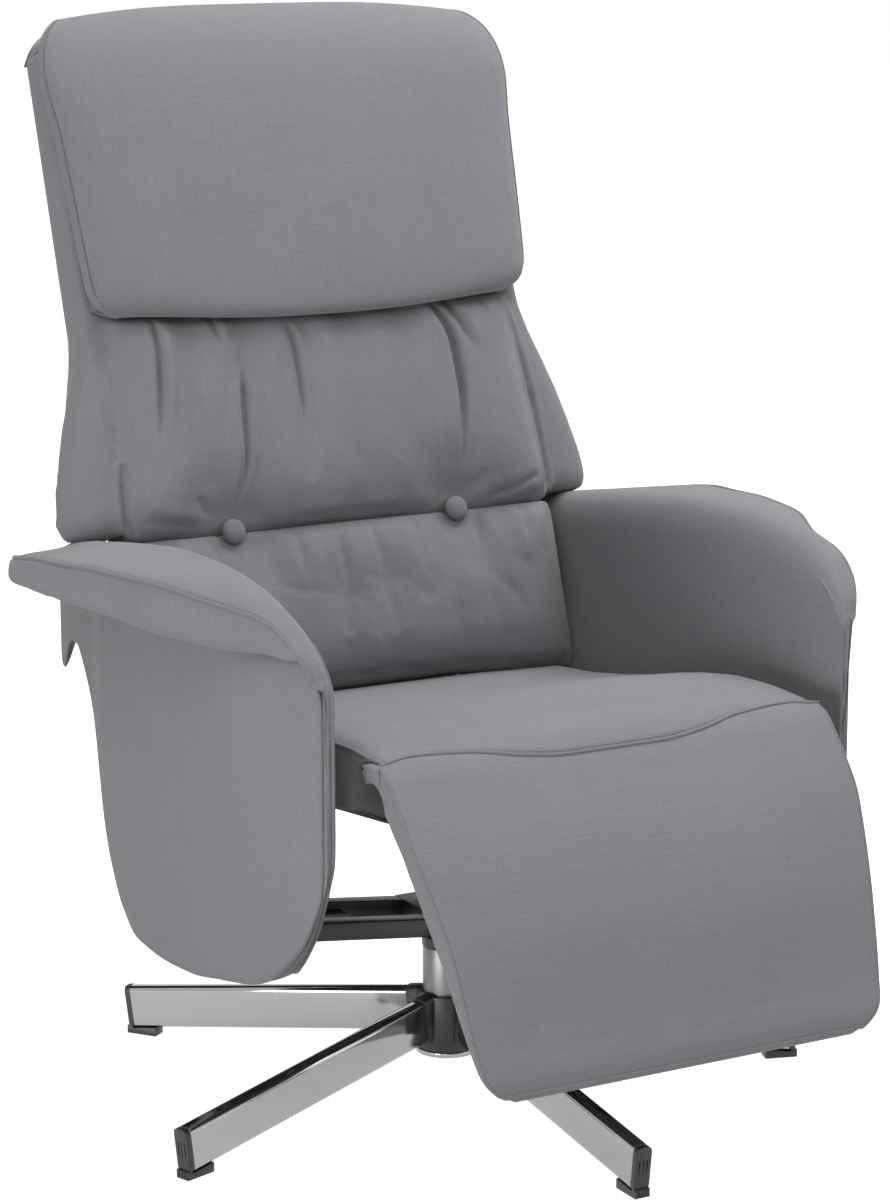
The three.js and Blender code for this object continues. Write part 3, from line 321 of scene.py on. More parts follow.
EASED = {"hub_ring": 0.8, "column_tube": 0.6, "swivel_collar": 0.8, "swivel_head": 1.2, "base_hub": 0.7}
for k in range(1, 6):
    EASED[f"base_leg_{k}"] = 0.25
    EASED[f"leg_end_cap_{k}"] = 0.4
for side, _ in SIDES:
    EASED.update({f"spider_{side}": 1.5, f"arm_bracket_{side}": 0.6, f"mechanism_plate_{side}": 0.5,
                  f"footrest_arm_{side}": 0.6, f"push_rod_{side}": 0.6, f"back_bracket_{side}": 0.6})
for node, width in EASED.items():
    eased(node, width * MM)
for node, thing in nodes.items():
    for place in thing.material_slots:
        place.material = SLOTS[slot_of(node)]


# Soft pieces
def smoothstep(t):
    t = np.clip(t, 0, 1)
    return t * t * (3 - 2 * t)


def distance_to(flat, line):
    """Each point's distance to a polyline, how far along it the nearest place is, and on which side."""
    line = np.asarray(line, float)
    steps = np.linalg.norm(np.diff(line, axis=0), axis=1)
    starts = np.concatenate([[0], np.cumsum(steps)])
    best = np.full(len(flat), np.inf)
    where = np.zeros(len(flat))
    side = np.zeros(len(flat))
    for a, b, step, start in zip(line[:-1], line[1:], steps, starts):
        t = np.clip((flat - a) @ (b - a) / max(step * step, 1e-12), 0, 1)
        away = flat - a - t[:, None] * (b - a)
        gap = np.linalg.norm(away, axis=1)
        nearer = gap < best
        best[nearer] = gap[nearer]
        where[nearer] = ((start + t * step) / starts[-1])[nearer]
        side[nearer] = np.sign(away[nearer, 0])
    return best, where, side


def through(knots, values, at):
    """Smooth curve through values at rising knots, which never runs past them."""
    knots, values, at = (np.asarray(v, float) for v in (knots, values, at))
    flat = values.reshape(len(knots), -1)
    width = np.diff(knots)[:, None]
    rise = np.diff(flat, axis=0) / width
    slope = np.zeros_like(flat)
    slope[0], slope[-1] = rise[0], rise[-1]
    one, two = 2 * width[1:] + width[:-1], width[1:] + 2 * width[:-1]
    same = rise[:-1] * rise[1:] > 0
    low, high = np.where(same, rise[:-1], 1), np.where(same, rise[1:], 1)
    slope[1:-1] = np.where(same, (one + two) / (one / low + two / high), 0)
    k = np.clip(np.searchsorted(knots, at, "right") - 1, 0, len(knots) - 2)
    w = width[k]
    t = (at[:, None] - knots[k][:, None]) / w
    made = (flat[k] * (1 + 2 * t) * (1 - t) ** 2 + slope[k] * w * t * (1 - t) ** 2
            + flat[k + 1] * t ** 2 * (3 - 2 * t) + slope[k + 1] * w * t ** 2 * (t - 1))
    return made.reshape((len(at),) + values.shape[1:])


def along_path(points, count):
    """Evenly spaced points on the smooth curve through given points."""
    points = np.asarray(points, float)
    for rows in (count * 4, count):
        steps = np.concatenate([[0], np.cumsum(np.linalg.norm(np.diff(points, axis=0), axis=1))])
        points = through(steps, points, np.linspace(0, steps[-1], rows))
    return points


def edges_of(mesh):
    pairs = np.empty(len(mesh.edges) * 2, dtype=int)
    mesh.edges.foreach_get("vertices", pairs)
    return pairs.reshape(-1, 2)


def spread_mean(values, pairs, count):
    """Mean of each vertex's neighbours."""
    first, second = pairs.T
    total = np.stack([np.bincount(first, values[second, k], len(values))
                      + np.bincount(second, values[first, k], len(values))
                      for k in range(values.shape[1])], axis=1)
    return total / count[:, None]


SHRINK, SWELL = 0.6, -0.62


def relax(mesh, rounds):
    """Smooths facets and keeps the volume."""
    co = points_of(mesh)
    pairs = edges_of(mesh)
    count = np.bincount(pairs.ravel(), minlength=len(co)).clip(1)
    for k in range(rounds * 2):
        co = co + (spread_mean(co, pairs, count) - co) * (SHRINK if k % 2 == 0 else SWELL)
    set_points(mesh, co)


CLOTH_FRAMES = 20


def inflate(piece, pressure, cap, held):
    """Cloth under pressure, kept as a shape; held is 1 where the cover can't move."""
    before = points_of(piece.data)
    group = piece.vertex_groups.new(name="held")
    for level in np.unique(np.round(held, 1)):
        if level > 0:
            group.add([int(k) for k in np.nonzero(np.round(held, 1) == level)[0]], float(level), "REPLACE")
    cloth = modifier(piece, "CLOTH")
    settings = cloth.settings
    settings.quality = 4
    settings.mass = 0.25
    for key in ("tension_stiffness", "compression_stiffness"):
        setattr(settings, key, 12)
    settings.shear_stiffness = 5
    settings.bending_stiffness = 0.5
    settings.use_pressure = True
    settings.uniform_pressure_force = pressure
    settings.effector_weights.gravity = 0
    settings.vertex_group_mass = "held"
    cloth.point_cache.frame_start = 1
    cloth.point_cache.frame_end = CLOTH_FRAMES
    for k in range(1, CLOTH_FRAMES + 1):
        scene.frame_set(k)
    apply_modifiers(piece)
    scene.frame_set(1)
    move = points_of(piece.data) - before
    length = np.linalg.norm(move, axis=1, keepdims=True).clip(1e-9)
    limit = (cap * (1 - held))[:, None].clip(1e-6)
    set_points(piece.data, before + move * np.tanh(length / limit) * limit / length)
    piece.vertex_groups.clear()


def refine(piece):
    modifier(piece, "SUBSURF", levels=1, render_levels=1)
    apply_modifiers(piece)


def joined(names, name, paint):
    """One mesh from copies of several nodes."""
    pieces = [welded(node, name if k == 0 else node + "_copy", paint) for k, node in enumerate(names)]
    work = bmesh.new()
    for piece in pieces:
        work.from_mesh(piece.data)
    work.to_mesh(pieces[0].data)
    work.free()
    for piece in pieces[1:]:
        bpy.data.objects.remove(piece)
    return pieces[0]


def soft(names, name, paint, voxel, rounds, sim=None, detail=(), split=True):
    """A cover round solids; sim is (deflate, pressure, cap, held), and detail moves its points at the end."""
    piece = joined(names, name, paint)
    modifier(piece, "REMESH", mode="VOXEL", voxel_size=voxel * MM, adaptivity=0.0)
    apply_modifiers(piece)
    relax(piece.data, rounds)
    if sim:
        deflate, pressure, cap, held = sim
        fixed = held(points_of(piece.data))
        inward = normals_of(piece.data) * (1 - fixed[:, None]) * deflate * MM
        set_points(piece.data, points_of(piece.data) - inward)
        inflate(piece, pressure, cap * MM, fixed)
        relax(piece.data, 2)
    if split:
        refine(piece)
    for step in detail:
        set_points(piece.data, step(points_of(piece.data), normals_of(piece.data)))
    finish(piece, body_of(names[0]), "grey_fabric", *names)
    return piece


# Seams: piped welts laid on a surface, and grooves pressed into it
def snapped(piece, line, lift):
    """A line moved onto a piece's surface, lifted off it a little and smoothed."""
    corners = [vertex.co for vertex in piece.data.vertices]
    tree = BVHTree.FromPolygons(corners, [face.vertices[:] for face in piece.data.polygons])
    places = []
    for point in line:
        place, up, _, _ = tree.find_nearest(Vector(point))
        places.append(tuple(place + up * lift))
    smooth = np.array(places)
    for _ in range(3):
        smooth[1:-1] = (smooth[:-2] + smooth[1:-1] * 2 + smooth[2:]) / 4
    return smooth


TUBE_SIDES = 8


def tube(name, line, radius, paint, body):
    """A round welt along a line, with round ends."""
    line = np.asarray(line)
    work = bmesh.new()
    rings = []
    ahead = np.gradient(line, axis=0)
    ahead /= np.linalg.norm(ahead, axis=1, keepdims=True).clip(1e-9)
    side = np.cross(ahead[0], (0.3, 0.5, 0.8))
    count = len(line)
    for k in range(count):
        side = side - ahead[k] * (side @ ahead[k])
        side /= np.linalg.norm(side)
        over = np.cross(ahead[k], side)
        slim = min(1, 0.35 + min(k, count - 1 - k) * 0.33)
        rings.append([work.verts.new(line[k] + (side * math.cos(a) + over * math.sin(a)) * radius * slim)
                      for a in np.linspace(0, 2 * math.pi, TUBE_SIDES, endpoint=False)])
    for near, far in zip(rings[:-1], rings[1:]):
        for j in range(TUBE_SIDES):
            beside = (j + 1) % TUBE_SIDES
            work.faces.new((near[j], near[beside], far[beside], far[j]))
    work.faces.new(rings[0][::-1])
    work.faces.new(rings[-1])
    mesh = bpy.data.meshes.new(name)
    work.to_mesh(mesh)
    work.free()
    piece = new_object(name, mesh, paint)
    return finish(piece, body, "grey_fabric")


def grooves(lines, depth, width):
    """Presses narrow channels with soft shoulders into a surface along lines in space."""
    def step(co, normals):
        for line in lines:
            gap, _, _ = distance_to(co, line)
            u = gap / width
            shoulder = 0.25 * np.exp(-((u - 2.2) / 0.8) ** 2)
            co = co - normals * ((np.exp(-u ** 2) - shoulder) * depth)[:, None]
        return co
    return step


# The backrest's own frame: x, d towards the rear and s up along the back
def back_frame(co):
    rel = np.asarray(co) - np.array(RECLINE)
    d = rel[:, 1] * math.cos(LEAN) - rel[:, 2] * math.sin(LEAN)
    s = rel[:, 1] * math.sin(LEAN) + rel[:, 2] * math.cos(LEAN)
    return np.stack([rel[:, 0], d, s], axis=1)


def from_back(local):
    y = local[:, 1] * math.cos(LEAN) + local[:, 2] * math.sin(LEAN)
    z = -local[:, 1] * math.sin(LEAN) + local[:, 2] * math.cos(LEAN)
    return np.stack([local[:, 0], y, z], axis=1) + np.array(RECLINE)


# Folds of the upper back: points as x and s in millimetres, width, depth, and the side of its soft ridge
FOLDS = [
    ([(-190, 420), (-196, 345), (-208, 262)], 4.2, 9, 1), ([(-43, 400), (-40, 333), (-43, 268)], 3.6, 6, 1),
    ([(122, 424), (134, 398), (147, 360), (149, 310), (144, 262), (136, 200)], 4.4, 10, -1),
    ([(-104, 350), (-110, 300), (-114, 250), (-128, 200)], 3.6, 7, -1),
    ([(142, 420), (160, 385), (178, 340)], 4.4, 6, 1), ([(-127, 422), (-123, 372)], 4, 4, 1),
    ([(190, 420), (200, 372)], 5, 3.5, 1), ([(-172, 224), (-150, 196)], 6, 2.5, 1),
    ([(170, 224), (150, 198)], 6, 2.5, 1), ([(238, 214), (196, 199), (152, 192)], 4.5, 3, 1),
    ([(-236, 206), (-200, 198), (-156, 191)], 4.5, 2.5, 1),
]
# Pleats of the lower cushion, which run down from the tuft seam: x, lean and run in millimetres, depth, side
PLEAT_WIDTH, PLEAT_TOP = 5, 186
PLEATS = [([(x, PLEAT_TOP), (x + lean * 0.5, PLEAT_TOP - run * 0.5), (x + lean, PLEAT_TOP - run)],
           PLEAT_WIDTH, deep, side) for x, lean, run, deep, side in (
    (-206, 6, 52, 2.2, 1), (-162, 14, 46, 2.4, 1), (-64, -5, 60, 2.2, 1), (-20, -2, 76, 2.2, -1),
    (22, 0, 66, 2.6, 1), (74, 0, 84, 2.4, -1), (108, 8, 40, 2, 1), (158, -14, 54, 3, 1),
    (206, -4, 56, 2.4, -1))]
# Seams between the upper cushion and the wings, as x and s in millimetres
SIDE_SEAMS = [[(-242, 262), (-246, 236), (-249, 188)], [(233, 416), (240, 340), (246, 262), (249, 188)]]
TUFT = 0.186    # height of the tuft seam along the back
BUTTON = 0.131    # from the middle to each button
COVER_FRONT = -0.062    # where the front of the back's cover begins, in d
# A fold has a ridge on each side: its place and width in the fold's own widths, and its height as a share of
# the depth, on the soft side and on the other
RIDGE_PLACE, RIDGE_WIDTH, RIDGE_SOFT, RIDGE_FLAT = 2.6, 1.5, 0.42, 0.16
# Gathers along the tuft seam: waves as (length, phase, share), and their depth
WAVES = ((0.0092, 0, 0.5), (0.0057, 1.3, 0.3), (0.021, 0.4, 0.5))
GATHER = 0.0012
DIMPLE_DEPTH, DIMPLE_RADIUS = 0.006, 0.024
WING_SIDE, WING_FOOT, WING_DROP, CORNER_DROP = 0.244, 0.203, 0.008, 0.009


def folded(folds, front):
    """Presses folds into the cover ahead of a plane at d = front millimetres."""
    def step(co, normals):
        local = back_frame(co)
        facing = smoothstep((front * MM - local[:, 1]) / 0.01) * smoothstep(-normals[:, 1] * 2)
        push = np.zeros(len(co))
        for line, width, depth, ridge in folds:
            gap, along, side = distance_to(local[:, (0, 2)], along_path(line, 16) * MM)
            fade = smoothstep((1 - along) * 2) * smoothstep(along * 5 + 0.1)
            u = gap / (width * MM * (0.6 + 0.4 * fade))
            valley = np.exp(-u ** 2)
            height = np.where(side == ridge, RIDGE_SOFT, RIDGE_FLAT)
            hill = np.exp(-((u - RIDGE_PLACE) / RIDGE_WIDTH) ** 2) * height
            push += (valley - hill) * depth * MM * fade
        local[:, 1] += push * facing
        return from_back(local)
    return step


def puckered(co, normals):
    """Small gathers along the tuft seam, and the dimples round the two buttons."""
    local = back_frame(co)
    facing = smoothstep((-0.058 - local[:, 1]) / 0.01) * smoothstep(-normals[:, 1] * 2)
    away = np.abs(local[:, 2] - TUFT)
    wave = sum(np.sin(local[:, 0] / length + phase) * share for length, phase, share in WAVES)
    local[:, 1] += wave * GATHER * np.exp(-((away - 0.013) / 0.011) ** 2) * facing
    local[:, 2] += np.sin(local[:, 0] / 0.032 + 0.8) * GATHER * np.exp(-(away / 0.02) ** 2) * facing
    for side in (-1, 1):
        gap = np.hypot(local[:, 0] - side * BUTTON, local[:, 2] - TUFT)
        turn = np.arctan2(local[:, 2] - TUFT, local[:, 0] - side * BUTTON)
        rays = 1 + 0.1 * np.cos(turn * 5 + side * 2) * smoothstep((gap - 0.01) / 0.014)
        local[:, 1] += DIMPLE_DEPTH * rays * np.exp(-(gap / DIMPLE_RADIUS) ** 2) * facing
    return from_back(local)


def reached(co, normals):
    """Wings and cushion corners come down to the arms and the seat."""
    local = back_frame(co)
    outside = smoothstep((np.abs(local[:, 0]) - WING_SIDE) / 0.01)
    local[:, 2] -= WING_DROP * outside * np.exp(-((local[:, 2] - WING_FOOT) / 0.012) ** 2)
    edge = smoothstep((np.abs(local[:, 0]) - 0.08) / 0.15)
    local[:, 2] -= CORNER_DROP * edge * smoothstep((0.05 - local[:, 2]) / 0.03) * (local[:, 1] < -0.05)
    return from_back(local)


def held_along(held, local, lines, share, width):
    """Holds the cover by a share along lines, fading out over a width."""
    for line in lines:
        gap, _, _ = distance_to(local[:, (0, 2)], np.array(line) * MM)
        held = np.maximum(held, share * np.exp(-(gap / width) ** 2))
    return held


def held_at_tuft(held, local):
    return np.maximum(held, np.exp(-((local[:, 2] - TUFT) / 0.012) ** 2))


def upper_held(co):
    local = back_frame(co)
    held = held_at_tuft(smoothstep((local[:, 1] - COVER_FRONT) / 0.014), local)
    held = held_along(held, local, SIDE_SEAMS, 1, 0.011)
    held = held_along(held, local, [line for line, *_ in FOLDS[:4]], 0.55, 0.009)
    return np.clip(held, 0, 1)


def lower_held(co):
    local = back_frame(co)
    held = smoothstep((local[:, 1] - COVER_FRONT) / 0.012)
    held = held_along(held, local, [line for line, *_ in PLEATS], 0.5, 0.009)
    return held_at_tuft(held, local)


seams = [from_back(np.insert(along_path(line, 40), 1, -64, axis=1) * MM) for line in SIDE_SEAMS]
upper_steps = (reached, folded(FOLDS, -60), puckered, grooves(seams, depth=0.0045, width=0.003))
lower_steps = (reached, folded(PLEATS, -56), puckered)
soft(["back_cushion_upper", "back_shell"], "upper_back_and_wings", cloth_back, voxel=5, rounds=16,
     sim=(2.5, 3.5, 12, upper_held), detail=upper_steps)
soft(["back_cushion_lower"], "lower_back_cushion", cloth_back, voxel=4.5, rounds=12,
     sim=(1.5, 3, 8, lower_held), detail=lower_steps)


def lofted(name, rings, paint):
    """A closed cover from rings of the same count, with its two ends closed."""
    work = bmesh.new()
    rows = [[work.verts.new(point) for point in ring] for ring in rings]
    count = len(rows[0])
    for near, far in zip(rows[:-1], rows[1:]):
        for k in range(count):
            work.faces.new((near[k], near[(k + 1) % count], far[(k + 1) % count], far[k]))
    ends = [work.faces.new(rows[0][::-1]), work.faces.new(rows[-1])]
    bmesh.ops.triangulate(work, faces=ends)
    bmesh.ops.recalc_face_normals(work, faces=work.faces)
    mesh = bpy.data.meshes.new(name)
    work.to_mesh(mesh)
    work.free()
    return new_object(name, mesh, paint)


# Headrest: a pillow over the top of the shell. Its section as (out, up) from its lower rear edge, and its
# half width as (up, half), all in millimetres
HEAD_FRONT = [
    (0, 0), (14, -3), (30, -15), (43, -26), (52, -24), (56.5, -8), (58, 30), (58, 90), (56.5, 160),
    (52, 222), (44, 262), (30, 292), (14, 309), (-8, 319), (-32, 321), (-47, 318), (-53, 305), (-55.3, 278),
]
HEAD_HALF = [
    (-32, 196), (-20, 208), (-13, 218), (-8, 232), (-2, 244), (6, 252), (18, 256), (36, 257.5), (94, 261),
    (180, 266), (233, 272), (258, 269), (284, 259), (303, 240), (313, 218), (321, 196),
]
HEAD_FOOT, HEAD_FACE = 425, -50.3    # where the section stands in s and d
SHELL_TOP = 700.6    # s of the shell's top, on which the pillow lies
HEAD_SEAM = 1.1 * MM


def pillow_ring(u):
    """The pillow at u, -1 to 1 across: towards its ends it gets thinner, droops less and comes down."""
    full = 0.3 + 0.7 * math.sqrt(max(0, 1 - abs(u) ** 4.5))
    droop = 0.42 + 0.58 * (1 - abs(u) ** 2.4)
    shape = along_path(HEAD_FRONT, 84)
    out, up = shape.T
    out = np.where(out > 0, out * full, out)
    arch = 13 * u ** 4 * smoothstep((up - 220) / 100)
    up = np.where(up < 0, up * droop, up) - arch
    heights, halves = zip(*HEAD_HALF)
    half = through(heights, halves, np.clip(up, heights[0], heights[-1]))
    half = half - 10 * smoothstep(-out / 55)
    front = np.stack([u * half, HEAD_FACE - out, HEAD_FOOT + up], axis=1)
    base = np.array([(u * 250, 5, SHELL_TOP), (u * 240, HEAD_FACE, SHELL_TOP)])
    return from_back(np.vstack([front, base]) * MM)


turns = np.concatenate([np.linspace(0, 0.86, 34), 0.86 + 0.14 * np.sin(np.linspace(0.1, math.pi / 2, 16))])
turns = np.concatenate([-turns[:0:-1], turns])
headrest = lofted("headrest_pillow", [pillow_ring(u) for u in turns], cloth_back)
finish(headrest, "backrest", "grey_fabric", "headrest_cushion")
for side, sign in SIDES:
    line = snapped(headrest, pillow_ring(sign * 0.985)[14:72], 0.0002)
    # The welt's cloth is darkened: painted shade along the seam
    tube(f"headrest_seam_{side}", line, HEAD_SEAM, cloth_seam_shade_back, "backrest")


# Heel of the back: cloth round the pivot beside the shell's own heel, which closes the gap above the seat
HEEL_OUTER, HEEL_INNER, HEEL_TOP = -50, -45, 58    # radii towards the front and upper end, in millimetres
HEEL_TURN = 78    # degrees under the pivot


def heel_ring(x):
    turns = np.radians(np.linspace(0, HEEL_TURN, 14))
    outer = [(HEEL_OUTER, HEEL_TOP), (HEEL_OUTER, 30)]
    outer += [(HEEL_OUTER * math.cos(a), HEEL_OUTER * math.sin(a)) for a in turns]
    inner = [(HEEL_INNER * math.cos(a), HEEL_INNER * math.sin(a)) for a in turns[::-1]]
    inner += [(HEEL_INNER, 30), (HEEL_INNER, HEEL_TOP)]
    return from_back(np.array([(x, d, s) for d, s in outer + inner]) * MM)


for side, sign in SIDES:
    xs = np.concatenate([[199], np.linspace(201, 240, 8), [242, 243]]) * sign
    heel = lofted(f"heel_cover_{side}", [heel_ring(x) for x in xs], cloth_back)
    finish(heel, "backrest", "grey_fabric")


# The knee: seat and footrest share a seam that sags round it in the middle
KNEE = np.array([SHIFT - 0.285, 0.388])
SEAM_RADIUS = 0.0477
SEAM_START, SEAM_SAG = 19.65, 22.5    # degrees in front of the knee's top
HALF_WIDTH = 0.24
PAD_LEAN = math.radians(27)


def seam_angle(x):
    side = np.abs(np.atleast_1d(x)) / HALF_WIDTH
    sag = through([0, 0.2, 0.4, 0.6, 0.85, 1, 2], [1, 1, 0.7, 0, -0.4, 0, 0], side)
    return np.radians(SEAM_START + SEAM_SAG * sag)


def round_knee(x, angle, radius):
    """Points on a cylinder round the knee's axis, the angle counted forwards from its top."""
    x, angle, radius = np.broadcast_arrays(x, angle, radius)
    return np.stack([x, KNEE[0] - radius * np.sin(angle), KNEE[1] + radius * np.cos(angle)], axis=-1)


def sagged(co, normals):
    """Draws the seat's front edge round the knee to the seam."""
    across, rise = co[:, 1] - KNEE[0], co[:, 2] - KNEE[1]
    radius, angle = np.hypot(across, rise), np.arctan2(-across, rise)
    start, end = math.radians(-28), math.radians(SEAM_START)
    weight = smoothstep((angle - start) / (end - start)) * smoothstep((radius - 0.036) / 0.005)
    weight = weight * (angle < math.radians(60)) * (radius < 0.075)
    angle = angle + (seam_angle(co[:, 0]) - end) * weight
    moved = round_knee(co[:, 0], angle, radius)
    return np.where(weight[:, None] > 0, moved, co)


seat = soft(["seat_cushion"], "seat_pad", cloth_seat, voxel=3.4, rounds=40, detail=(sagged,), split=False)


def pad_point(along, out):
    """Points of the footrest's profile from millimetres along the pad and out from the pivot's plane."""
    along, out = np.asarray(along) * MM, np.asarray(out) * MM
    y = KNEE[0] - math.sin(PAD_LEAN) * along - math.cos(PAD_LEAN) * out
    z = KNEE[1] - math.cos(PAD_LEAN) * along + math.sin(PAD_LEAN) * out
    return np.stack([y, z], axis=-1)


def knee_points(degrees, radii):
    """Points of the footrest's profile at angles in front of the knee's top."""
    turn = np.radians(degrees)
    radii = np.broadcast_to(np.asarray(radii) * MM, turn.shape)
    return np.stack([KNEE[0] - radii * np.sin(turn), KNEE[1] + radii * np.cos(turn)], axis=-1)


# The pad's face as (along, out) in millimetres, and its half width as (along, share)
FACE = [(0, 49.8), (15, 53.4), (30, 56.8), (50, 60.2), (72, 62.6), (95, 63.8), (120, 64), (150, 63.5),
        (180, 59.8), (210, 54.7), (240, 49.8), (258, 48), (269, 45.6), (277, 41.5), (283, 35)]
WIDE = [(-60, 1), (50, 1), (90, 0.98), (120, 0.963), (150, 0.945), (180, 0.932), (210, 0.921),
        (240, 0.906), (258, 0.892), (269, 0.868), (277, 0.83), (283, 0.775)]
FACE_ROWS, BACK_ROWS = 96, 40
PAD_BACK = 27    # out, of the board's side
CORE_RADIUS, ROLL_RADIUS = 24, 41.8    # of the pad's inner and outer turn under the seat's edge
PAD_CROWN, PAD_EDGE, PAD_NARROW = 6, 5 * MM, 6 * MM


def pad_profile(x):
    """Closed profile of the pad at x: the face down from the seam, then back up and round the pivot."""
    top = math.degrees(seam_angle(x)[0])
    bend = knee_points(np.array([top, top * 0.6 + 22, top * 0.2 + 44]), [47.7, 47.8, 48.4])
    face = along_path(np.vstack([bend, pad_point(*np.array(FACE).T)]), FACE_ROWS)
    crown = PAD_CROWN * (1 - (abs(x) / HALF_WIDTH) ** 4) * np.sin(np.pi * np.linspace(0, 1, FACE_ROWS)) ** 1.3
    face = face + crown[:, None] * MM * np.array([-math.cos(PAD_LEAN), math.sin(PAD_LEAN)])
    back = np.vstack([pad_point(277, PAD_BACK + 0.6), pad_point([258, 64, 32], [PAD_BACK] * 3)])
    core = knee_points(np.linspace(86, -30, 12), CORE_RADIUS)
    roll = knee_points(np.linspace(-30, top - 3, 12), ROLL_RADIUS)
    return face, np.vstack([along_path(back, BACK_ROWS), core, roll])


def footrest_rings():
    """Rings of the pad across its width, with rounded sides, and how many make up each side."""
    sides = [(math.sin(a), 1 - math.cos(a)) for a in np.radians([90, 72, 54, 36, 18])]
    stations = [(-1, out, inset) for out, inset in sides] + [(u, 0, 0) for u in np.linspace(-1, 1, 61)]
    stations += [(1, out, inset) for out, inset in sides[::-1]]
    rings = []
    for u, out, inset in stations:
        face, rest = pad_profile(u * HALF_WIDTH)
        profile = np.vstack([face, rest])
        rel = profile - KNEE
        along = (-math.sin(PAD_LEAN) * rel[:, 0] - math.cos(PAD_LEAN) * rel[:, 1]) / MM
        places, shares = zip(*WIDE)
        half = through(places, shares, np.clip(along, places[0], places[-1])) * HALF_WIDTH
        half[FACE_ROWS:] -= PAD_NARROW * smoothstep((along[FACE_ROWS:] - 20) / 40)
        ahead = np.roll(profile, -1, axis=0) - np.roll(profile, 1, axis=0)
        inward = np.stack([ahead[:, 1], -ahead[:, 0]], axis=1)
        inward /= np.linalg.norm(inward, axis=1, keepdims=True).clip(1e-9)
        profile = profile + inward * INWARD * inset * PAD_EDGE
        x = u * (half - PAD_EDGE) + u * out * PAD_EDGE
        rings.append(np.column_stack([x, profile]))
    return rings, len(sides)


face, rest = pad_profile(0)
loop = np.vstack([face, rest])
area = np.sum(loop[:, 0] * np.roll(loop[:, 1], -1) - np.roll(loop[:, 0], -1) * loop[:, 1])
INWARD = 1 if area < 0 else -1
rings, edge_rows = footrest_rings()
footrest = lofted("footrest_pad", rings, cloth_seat)
finish(footrest, None, "grey_fabric", "footrest_cushion")

# Welts of seat and footrest: along their seam, round the pad's face and back along the seat's sides
WELT = 1.9 * MM
xs = np.linspace(-HALF_WIDTH, HALF_WIDTH, 90)
seam_line = round_knee(xs, seam_angle(xs), SEAM_RADIUS + 0.0002)
corner_left, corner_right = rings[edge_rows - 3], rings[-(edge_rows - 2)]
last = FACE_ROWS - 3
bottom_line = np.array([ring[last] for ring in rings[edge_rows - 3:-(edge_rows - 3)]])
welt_line = np.vstack([corner_left[:last:2], bottom_line[1:-1], corner_right[:last:2][::-1]])
for name, line in (("knee_seam_welt", seam_line), ("footrest_welt", welt_line)):
    tube(name, line, WELT, cloth_trim, None)
for name in ("footrest_pad", "knee_seam_welt", "footrest_welt"):
    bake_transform(bpy.data.objects[name])
for side, sign in SIDES:
    top = along_path([(sign * 0.2385, SHIFT + y * MM, z * MM) for y, z in (
        (-301, 432), (-285, 434.5), (-241, 436.5), (-186, 433.5), (-127, 424.5), (-62, 411))], 60)
    line = snapped(seat, top, 0.0006)
    line[0] = round_knee(sign * HALF_WIDTH, seam_angle(HALF_WIDTH)[0], SEAM_RADIUS)
    tube(f"seat_welt_{side}", line, WELT, cloth_trim, "chassis")


# Arms: the rows of the solids, drawn finer, as shares: (along, foot, crest, reach, body, drop, band)
ARM = [
    (0, 0.372, 0.818, 0.12, 0.42, 0.17, 0.05), (0.011, 0.326, 0.852, 0.16, 0.5, 0.1, 0.07),
    (0.024, 0.285, 0.878, 0.2, 0.58, 0.1, 0.14), (0.036, 0.251, 0.895, 0.224, 0.64, 0.2, 0.33),
    (0.071, 0.192, 0.93, 0.27, 0.8, 0.3, 0.68), (0.128, 0.129, 0.965, 0.35, 0.95, 1, 0.88),
    (0.205, 0.084, 0.986, 0.465, 1, 1.5, 1.05),
    (0.305, 0.05, 0.996, 0.67, 1, 1.1, 1.26), (0.426, 0.014, 0.993, 0.81, 1, 1, 1.17),
    (0.556, 0, 0.974, 0.926, 1, 0.75, 1.03), (0.637, 0.006, 0.958, 0.978, 1, 0.45, 0.9),
    (0.701, 0.06, 0.944, 1, 1, 0.45, 0.78), (0.75, 0.16, 0.932, 0.92, 1, 0.6, 0.78),
    (0.792, 0.315, 0.923, 0.81, 1, 1, 0.76), (0.838, 0.475, 0.911, 0.647, 1, 1.35, 0.82),
    (0.887, 0.598, 0.897, 0.47, 1, 1.6, 0.88), (0.912, 0.636, 0.885, 0.38, 1, 1.5, 0.76),
    (0.943, 0.64, 0.871, 0.294, 1, 1.2, 0.67), (0.968, 0.622, 0.853, 0.24, 0.97, 1, 0.46),
    (1, 0.55, 0.822, 0.19, 0.9, 0.8, 0.27),
]
# Millimetres: the arm's length, its lowest point and height, and (x, y) of its front and of its turning point
ARM_DEPTH, ARM_FOOT, ARM_RISE, ARM_FRONT, ARM_REAR = 619, 161, 427, (276, -284), (256, 200)
PAD_REACH, LINER_THICK, PAD_DROP, PAD_BAND = 141, 22, 12, 42    # millimetres at a share of 1
ARM_TURN = math.atan2(ARM_FRONT[0] - ARM_REAR[0], ARM_REAR[1] - ARM_FRONT[1])


def arm_world(points, sign):
    """From an arm's own (outwards, along, up) in millimetres to the chair's frame."""
    x, y, z = np.asarray(points, float).T
    y = y + ARM_FRONT[1] - ARM_REAR[1]
    far = x * math.cos(ARM_TURN) - y * math.sin(ARM_TURN) + ARM_REAR[0]
    deep = x * math.sin(ARM_TURN) + y * math.cos(ARM_TURN) + ARM_REAR[1]
    return np.column_stack([sign * far, deep, z]) * MM + np.array([0, SHIFT, 0])


